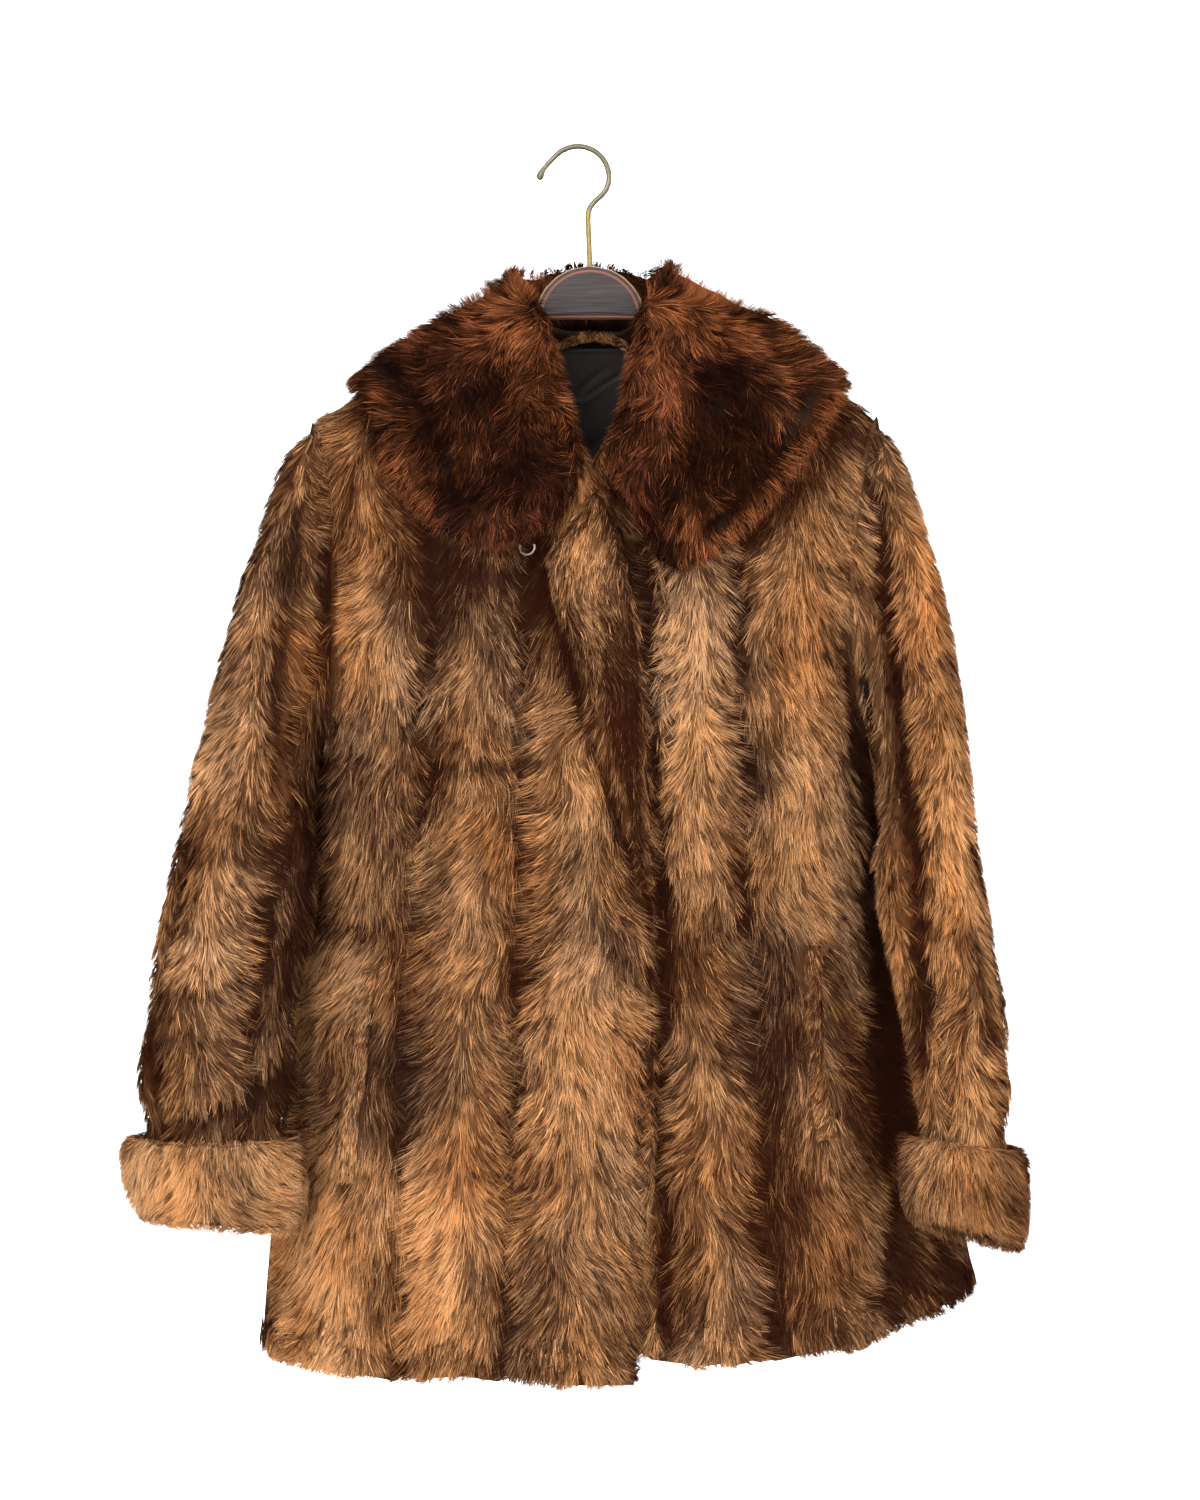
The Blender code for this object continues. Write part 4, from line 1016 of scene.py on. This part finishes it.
def grow(name, node, count, length_mm, width_mm, material, seed):
    """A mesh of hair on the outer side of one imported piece."""
    rng = np.random.default_rng(seed)
    collar = node == "collar"
    wall = walls[node]
    places, normals = scatter(wall, count // HAIRS_IN_LOCK, rng)
    locks = len(places)
    total = locks * HAIRS_IN_LOCK
    work = furriers_work(node, places, normals)
    fall = fall_vectors(node, places, normals, wall["middle"])
    side = np.cross(normals, fall)
    rim = neck_rim(places, normals) if collar else np.zeros(locks)
    work["light"] += LOCK_LIGHT * rng.standard_normal(locks)
    work["warm"] += LOCK_WARMTH * rng.standard_normal(locks)
    tone, value = hair_numbers(work)

    def each(values):
        return np.repeat(values, HAIRS_IN_LOCK, axis=0)

    turns = each(work["turn"] + LOCK_TURN * rng.standard_normal(locks))
    spread = HAIR_TURN + RIM_TURN * each(rim)
    turns = (turns + spread * rng.standard_normal(total))[:, None]
    along = each(fall) * np.cos(turns) + each(side) * np.sin(turns)
    up = each(normals)
    across = np.cross(up, along)
    guard = rng.random(total) < GUARD_SHARE
    length = length_mm * MM * each(rng.uniform(*LOCK_LENGTHS, locks))
    length *= rng.uniform(*HAIR_LENGTHS, total)
    length *= np.where(guard, GUARD_LENGTH, 1.0) * each(1 - RIM_SHORTER * rim)
    depth = FUR_KINDS[node][2] * MM
    sunk = limit_depth(wall, places, normals, depth + work["dent"] * MM)
    radius = (LOCK_RADIUS * np.sqrt(rng.random(total)))[:, None]
    angle = rng.uniform(0, 2 * math.pi, total)[:, None]
    offset = radius * (np.cos(angle) * along + np.sin(angle) * across)
    beyond = comb_in(wall, places + fall * LOCK_RADIUS, np.full(locks, EDGE_PLAY)).any(1)
    back_step = along * each(beyond)[:, None] * LOCK_RADIUS
    root = each(places) + offset - back_step - up * each(sunk)[:, None]
    rise = RISE + each(rng.normal(0, LOCK_RISE, locks)) + rng.normal(0, HAIR_RISE, total)
    rise *= depth * np.where(guard, COLLAR_GUARD_RISE if collar else GUARD_RISE, 1.0)
    tip = root + along * length[:, None] + up * rise[:, None] - offset * GATHER
    tip_of_lock = tip.reshape(locks, HAIRS_IN_LOCK, 3).mean(1)
    fluff = FUR_KINDS[node][4] + RIM_FLUFF * rim
    if not collar:
        fluff = fluff + BULGE_FLUFF * np.maximum(-work["dent"] - BULGE, 0)
    tip += each(comb_in(wall, tip_of_lock, fluff * MM))
    roll = (HAIR_ROLL * rng.standard_normal(total))[:, None]
    flat = across * np.cos(roll) + up * np.sin(roll)
    half = width_mm / 2 * MM * rng.uniform(*HAIR_WIDTHS, total) * np.where(guard, GUARD_WIDTH, 1.0)
    half = (half * each(1 - RIM_THINNER * rim))[:, None]
    points = np.stack([root + flat * half, root - flat * half, tip], 1)
    value = each(value) + HAIR_VALUE * rng.standard_normal(total)
    # painted highlight on a share of the hairs
    value *= np.where(rng.random(total) < HIGHLIT_HAIR_SHARE, HAIR_PAINTED_HIGHLIGHT, 1.0)
    tone = np.clip(each(tone) + HAIR_TONE * rng.standard_normal(total), 0.02, 0.98)
    rows = np.outer(value, (ROOT_VALUE, ROOT_VALUE, TIP_VALUE)).clip(0.01, 1)
    columns = np.add.outer(tone, (-0.01, 0.01, 0))
    piece = build_hair(name, points, columns, rows, material)
    print(name, "hairs", total)
    return piece


def build_hair(name, points, columns, rows, material):
    """Turns triples of points into triangles, with their colour numbers as the hair map."""
    count = len(points)
    mesh = bpy.data.meshes.new(name)
    mesh.vertices.add(count * 3)
    mesh.vertices.foreach_set("co", points.astype(np.float32).ravel())
    mesh.loops.add(count * 3)
    mesh.loops.foreach_set("vertex_index", np.arange(count * 3, dtype=np.int32))
    mesh.polygons.add(count)
    mesh.polygons.foreach_set("loop_start", np.arange(0, count * 3, 3, dtype=np.int32))
    layer = mesh.uv_layers.new(name=HAIR_MAP)
    uv = np.stack([columns.ravel(), rows.ravel()], -1)
    layer.data.foreach_set("uv", uv.astype(np.float32).ravel())
    mesh.update(calc_edges=True)
    return add_piece(name, mesh, material)


def add_piece(name, mesh, *materials):
    """An object from finished mesh data, which rides on the jacket's one body."""
    for material in materials:
        mesh.materials.append(material)
    piece = bpy.data.objects.new(name, mesh)
    bpy.context.scene.collection.objects.link(piece)
    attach(piece, "root")
    return piece


# %% [markdown]
# ## Hides
# Under the hair lies the hide, a thin shell that follows the imported wall. Its outer side is
# sunk by the depth of the fur and carries the same dents. Its colours are its hair's, darker:
# partly the underfur's own colour, partly painted shade deep in the fur. Its inner side is the
# lining, as dark as fur in shade: partly the lining's own colour, partly painted shade.

# %% Make the hides
# below this cosine to its haired faces a corner belongs to an edge and isn't sunk
FLAT_ENOUGH = 0.85
# pieces with fewer haired edges than this are cut up coarsely
MANY_EDGES = 900
# the hide's value, as a share of its hair's: darker, partly the underfur's own colour and
# partly painted shade deep in the fur
HIDE_VALUE = 0.35


def is_sunk(vert):
    """A corner is sunk if its haired faces look the way it does and no wall is in front."""
    haired = [face.normal for face in vert.link_faces if face.material_index == 0]
    away = sum(haired, Vector()).normalized().dot(vert.normal)
    return away > FLAT_ENOUGH and is_open(vert.co, vert.normal)


def refine(mesh, edges, cuts):
    """Cuts the edges and makes triangles of what is left."""
    bmesh.ops.subdivide_edges(mesh, edges=edges, cuts=cuts, use_grid_fill=True)
    bmesh.ops.triangulate(mesh, faces=mesh.faces)
    mesh.normal_update()


def smooth_data(mesh, name):
    """Mesh data with smoothly shaded faces from a worked copy."""
    for face in mesh.faces:
        face.smooth = True
    data = bpy.data.meshes.new(name)
    mesh.to_mesh(data)
    mesh.free()
    return data


def make_hide(node, material):
    """A finer copy of a packed wall whose haired side is sunk below the hair's tips."""
    mesh = merged_copy(node)
    for face, outside in zip(mesh.faces, walls[node]["outside"]):
        face.material_index = 0 if outside else 1
    edges = [edge for edge in mesh.edges
             if any(face.material_index == 0 for face in edge.link_faces)]
    refine(mesh, edges, 1 if len(edges) < MANY_EDGES else 2)
    places, normals = corners_of(mesh)
    share = np.array([is_sunk(vert) for vert in mesh.verts], float)
    work = furriers_work(node, places, normals)
    tone, value = hair_numbers(work)
    wanted = (FUR_KINDS[node][2] + work["dent"]) * MM
    sink = limit_depth(walls[node], places, normals, wanted)
    for vert, place in zip(mesh.verts, places - normals * (sink * share)[:, None]):
        vert.co = place
    data = smooth_data(mesh, node + "_hide")
    layer = data.attributes.new(HIDE_TONE, "FLOAT_VECTOR", "POINT")
    numbers = np.stack([tone, value * HIDE_VALUE, np.zeros(len(tone))], -1)
    layer.data.foreach_set("vector", np.clip(numbers, 0, 1).astype(np.float32).ravel())
    piece = add_piece(node + "_hide", data, material, LINING)
    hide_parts(node)
    print(piece.name, "triangles", len(data.polygons))
    return piece


# %% Dress each piece
# node, hairs, hair length and width in mm, slot, seed, flat width and length, flat area
FUR_PIECES = [
    ("back", 78000, 14, 0.74, "fur", 101, (0.58, 0.79), 0.335),
    ("front_left", 104000, 14, 0.65, "fur", 102, (0.34, 0.79), 0.203),
    ("front_right", 118000, 14, 0.65, "fur", 103, (0.34, 0.80), 0.214),
    ("sleeve_left", 59000, 13, 0.65, "fur", 104, (0.26, 0.53), 0.118),
    ("sleeve_right", 65000, 13, 0.65, "fur", 105, (0.30, 0.53), 0.137),
    ("cuff_left", 20000, 13, 0.58, "fur", 106, (0.28, 0.064), 0.0165),
    ("cuff_right", 23000, 13, 0.58, "fur", 107, (0.36, 0.058), 0.0198),
    ("collar", 106000, 13, 0.63, "dark_fur", 108, (0.75, 0.19), 0.111),
    ("front_right_facing", 12000, 10, 0.8, "fur", 109, (0.038, 0.30), 0.0084),
    ("pocket_welt_left", 2500, 7, 0.7, "fur", 110, (0.0125, 0.14), 0.00172),
    ("pocket_welt_right", 2700, 7, 0.7, "fur", 111, (0.0125, 0.155), 0.00192),
    ("hanging_loop", 3000, 4, 0.6, "loop_fur", 112, None, None),
]

for node, hairs, length, width, slot, seed, flat, area in FUR_PIECES:
    dark = node == "collar"
    hide = make_hide(node, COLLAR_HIDE if dark else BODY_HIDE)
    fur = grow(node + "_fur", node, hairs, length, width, COLLAR_FUR if dark else BODY_FUR, seed)

# %% [markdown]
# ## Hanger and wire
# The hanger's hub is a half disc of wood under a dark brushed stain. The stain is rubbed off to
# a coppery line along its foot, along its rim and along an arc inside the rim, so the lines are
# drawn by their distance from the hub's centre. The hook is bent wire: nickelled where it hooks,
# brass along its stem. A curve with a round bevel gives an even tube, turned into a mesh.

# %% Finish the hanger
HUB_CENTRE = Vector((0.0086, 0.0, -0.124))
HUB_RADIUS = 0.040
HUB_FOOT_Z = -0.1228
STAIN = (34, 28, 28)
COPPER = (98, 56, 40)
BRASSY = (118, 92, 58)
# distance inside the rim in mm where each colour starts, from the rim inwards, and the band
# round the rim, from outside to inside in mm, over which these are spread
RIM_LINES = [(-1.2, STAIN), (-0.6, BRASSY), (1.5, BRASSY), (1.9, STAIN), (3.6, STAIN),
             (4.1, COPPER), (5.2, COPPER), (5.9, STAIN)]
RIM_BAND = (2, 8)
BLACK = (0, 0, 0)
WHITE = (255, 255, 255)


def hub_wood():
    """Stained wood, with lines by the distance from the hub's centre and above its foot."""
    material, shader = new_material("brushed_dark_wood", 0.5, 0.2)
    streaks = add_streaks(material, (28, 200, 950))
    stain = add_ramp(material, streaks, [(0.3, (12, 9, 9)), (0.72, (52, 43, 42))])
    flat = add_node(material, "ShaderNodeVectorMath", {0: object_place(material), 1: (1, 0, 1)},
                    operation="MULTIPLY")
    away = add_node(material, "ShaderNodeVectorMath", {0: flat.outputs["Vector"], 1: HUB_CENTRE},
                    operation="DISTANCE")
    outer, inner = RIM_BAND
    rim_start, rim_end = HUB_RADIUS + outer * MM, HUB_RADIUS - inner * MM
    inside = add_band(material, away.outputs["Value"], rim_start, rim_end)
    stops = [((outer + mm) / (outer + inner), colour) for mm, colour in RIM_LINES]
    marks = [(share, BLACK if colour == STAIN else WHITE) for share, colour in stops]
    rim = add_ramp(material, inside, marks)
    tint = add_ramp(material, inside, [stop for stop in stops if stop[1] != STAIN])
    foot = add_height_band(material, HUB_FOOT_Z + 2.2 * MM, HUB_FOOT_Z + 1.4 * MM)
    lined = add_mix(material, rim, stain, tint)
    copper = add_ramp(material, streaks, [(0.3, (96, 58, 44)), (0.7, (140, 92, 72))])
    return finish(material, shader, add_mix(material, foot, lined, copper), streaks, 0.15)


def wire_metal(name, colour, roughness):
    """Drawn wire: fine marks along it catch the light unevenly, in relief and as painted streaks
    of duller sheen and wear.
    """
    material, shader = new_material(name, roughness, metallic=1.0)
    fill(material, shader, {"Specular Tint": (0.12, 0.11, 0.09, 1)})
    marks = add_streaks(material, (2500, 2500, 300))
    worn_and_dull_sheen = tuple(channel * 0.72 for channel in colour)
    tint = add_ramp(material, marks, [(0.35, worn_and_dull_sheen), (0.65, colour)])
    return finish(material, shader, tint, marks, 0.02, 0.3)


def refinish(node, material):
    """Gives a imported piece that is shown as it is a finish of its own."""
    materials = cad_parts[node].data.materials
    materials.clear()
    materials.append(material)


NICKEL = wire_metal("nickelled_wire", (96, 90, 74), 0.3)
BRASS = wire_metal("brass_wire", (114, 98, 60), 0.3)
SILVERED = wire_metal("silvered_wire", (120, 106, 96), 0.38)
refinish("hanger_body", hub_wood())
refinish("closure_hook", SILVERED)

# %% Bend the wire hook
STEM_TOP = 45.2
CROWN_RADIUS = 22.4
CROWN_LOW = 20.4
# x, low and radius in mm along the hook, then along its stem
CROWN = [(-CROWN_RADIUS * math.cos(a), CROWN_LOW - CROWN_RADIUS * math.sin(a), 2.0)
         for a in map(math.radians, range(34, 191, 12))]
HOOK_WIRE = [(-27.8, 22.2, 1.3), (-27.4, 20.2, 2.8), (-26.6, 17.6, 2.5), (-24.6, 14.2, 1.8),
             (-21.6, 10.6, 1.9), *CROWN[1:], (20.4, 29.0, 2.0), (17.2, 33.2, 2.0),
             (12.4, 37.4, 2.0), (8.8, 41.8, 2.0), (7.5, STEM_TOP + 0.3, 2.0)]
STEM_WIRE = [(7.5, STEM_TOP, 1.95), (7.3, 52.0, 1.95), (7.6, 60.0, 1.95), (8.6, 84.2, 1.95)]


def bent_wire(name, stations, material, replaced=None):
    """A round wire through stations of x, low and radius."""
    curve = bpy.data.curves.new(name, "CURVE")
    curve.dimensions = "3D"
    spline = curve.splines.new("POLY")
    spline.points.add(len(stations) - 1)
    for point, (x, low, radius) in zip(spline.points, stations):
        point.co = (x * MM, 0, -low * MM, 1)
        point.radius = radius
    spline.use_smooth = True
    curve.bevel_depth = 1 * MM
    curve.bevel_resolution = 6
    curve.use_fill_caps = True
    mesh = bpy.data.meshes.new_from_object(bpy.data.objects.new(name + "_curve", curve))
    mesh.shade_smooth()
    mesh.set_sharp_from_angle(angle=math.radians(50))
    wire = add_piece(name, mesh, material)
    if replaced:
        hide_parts(replaced)
    print(name, "faces", len(mesh.polygons))


bent_wire("hook_wire", HOOK_WIRE, NICKEL, "hanger_hook")
bent_wire("stem_wire", STEM_WIRE, BRASS)

# %% [markdown]
# ## Neck lining
# The satin behind the neck opening is pulled by the hanger into three slanting creases. Its
# top is painted near-black: painted shadow in the gap under the hanging loop. It is a finer
# copy of the imported lining, whose visible side is pressed in along each crease.

# %% Crease the lining
# the height band along the satin's top that is painted near-black: painted shadow under the
# hanging loop
NECK_SHADOW_Z = (-0.146, -0.142)
LONGEST_EDGE = 3 * MM
# points x, low along each crease, then half width and depth in mm
LINING_CREASES = [
    ([(-8, 177), (4, 167), (17, 156)], 1.6, 1.1),
    ([(7, 174), (20, 165), (33, 157)], 1.6, 1.2),
    ([(-2, 182), (14, 171), (24, 160)], 3.0, -0.7),
    ([(-30, 230), (-6, 222), (18, 205)], 4.0, 1.0),
]


def satin():
    """Black satin, painted near-black along its top as painted shadow."""
    material, shader = new_material("creased_satin", 0.5, 0.12)
    weave = add_streaks(material, (1600, 1600, 1600), 3)
    cloth = add_ramp(material, weave, [(0.3, (22, 18, 17)), (0.7, (36, 30, 28))])
    painted_shadow_band = add_height_band(material, *NECK_SHADOW_Z)
    black = add_ramp(material, weave, [(0.3, (3, 2, 2)), (0.7, (7, 5, 5))])
    return finish(material, shader, add_mix(material, painted_shadow_band, cloth, black), weave, 0.05)


def crease_lining():
    """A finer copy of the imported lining, pressed in along the creases where it shows."""
    mesh = merged_copy("back_neck_lining")
    for turn in range(3):
        refine(mesh, [edge for edge in mesh.edges if edge.calc_length() > LONGEST_EDGE], 1)
    places, normals = corners_of(mesh)
    shown = normals[:, 1] < -0.3
    press = np.zeros(len(places))
    for line, half_width, depth in LINING_CREASES:
        away = distance_to_line(places[:, 0] / MM, -places[:, 2] / MM, line)
        press += depth * np.exp(-(away / half_width) ** 2)
    for vert, push, seen in zip(mesh.verts, press, shown):
        if seen:
            vert.co.y += push * MM
    piece = add_piece("neck_satin", smooth_data(mesh, "neck_satin"), satin())
    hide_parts("back_neck_lining")
    print("neck_satin triangles", len(piece.data.polygons))


crease_lining()
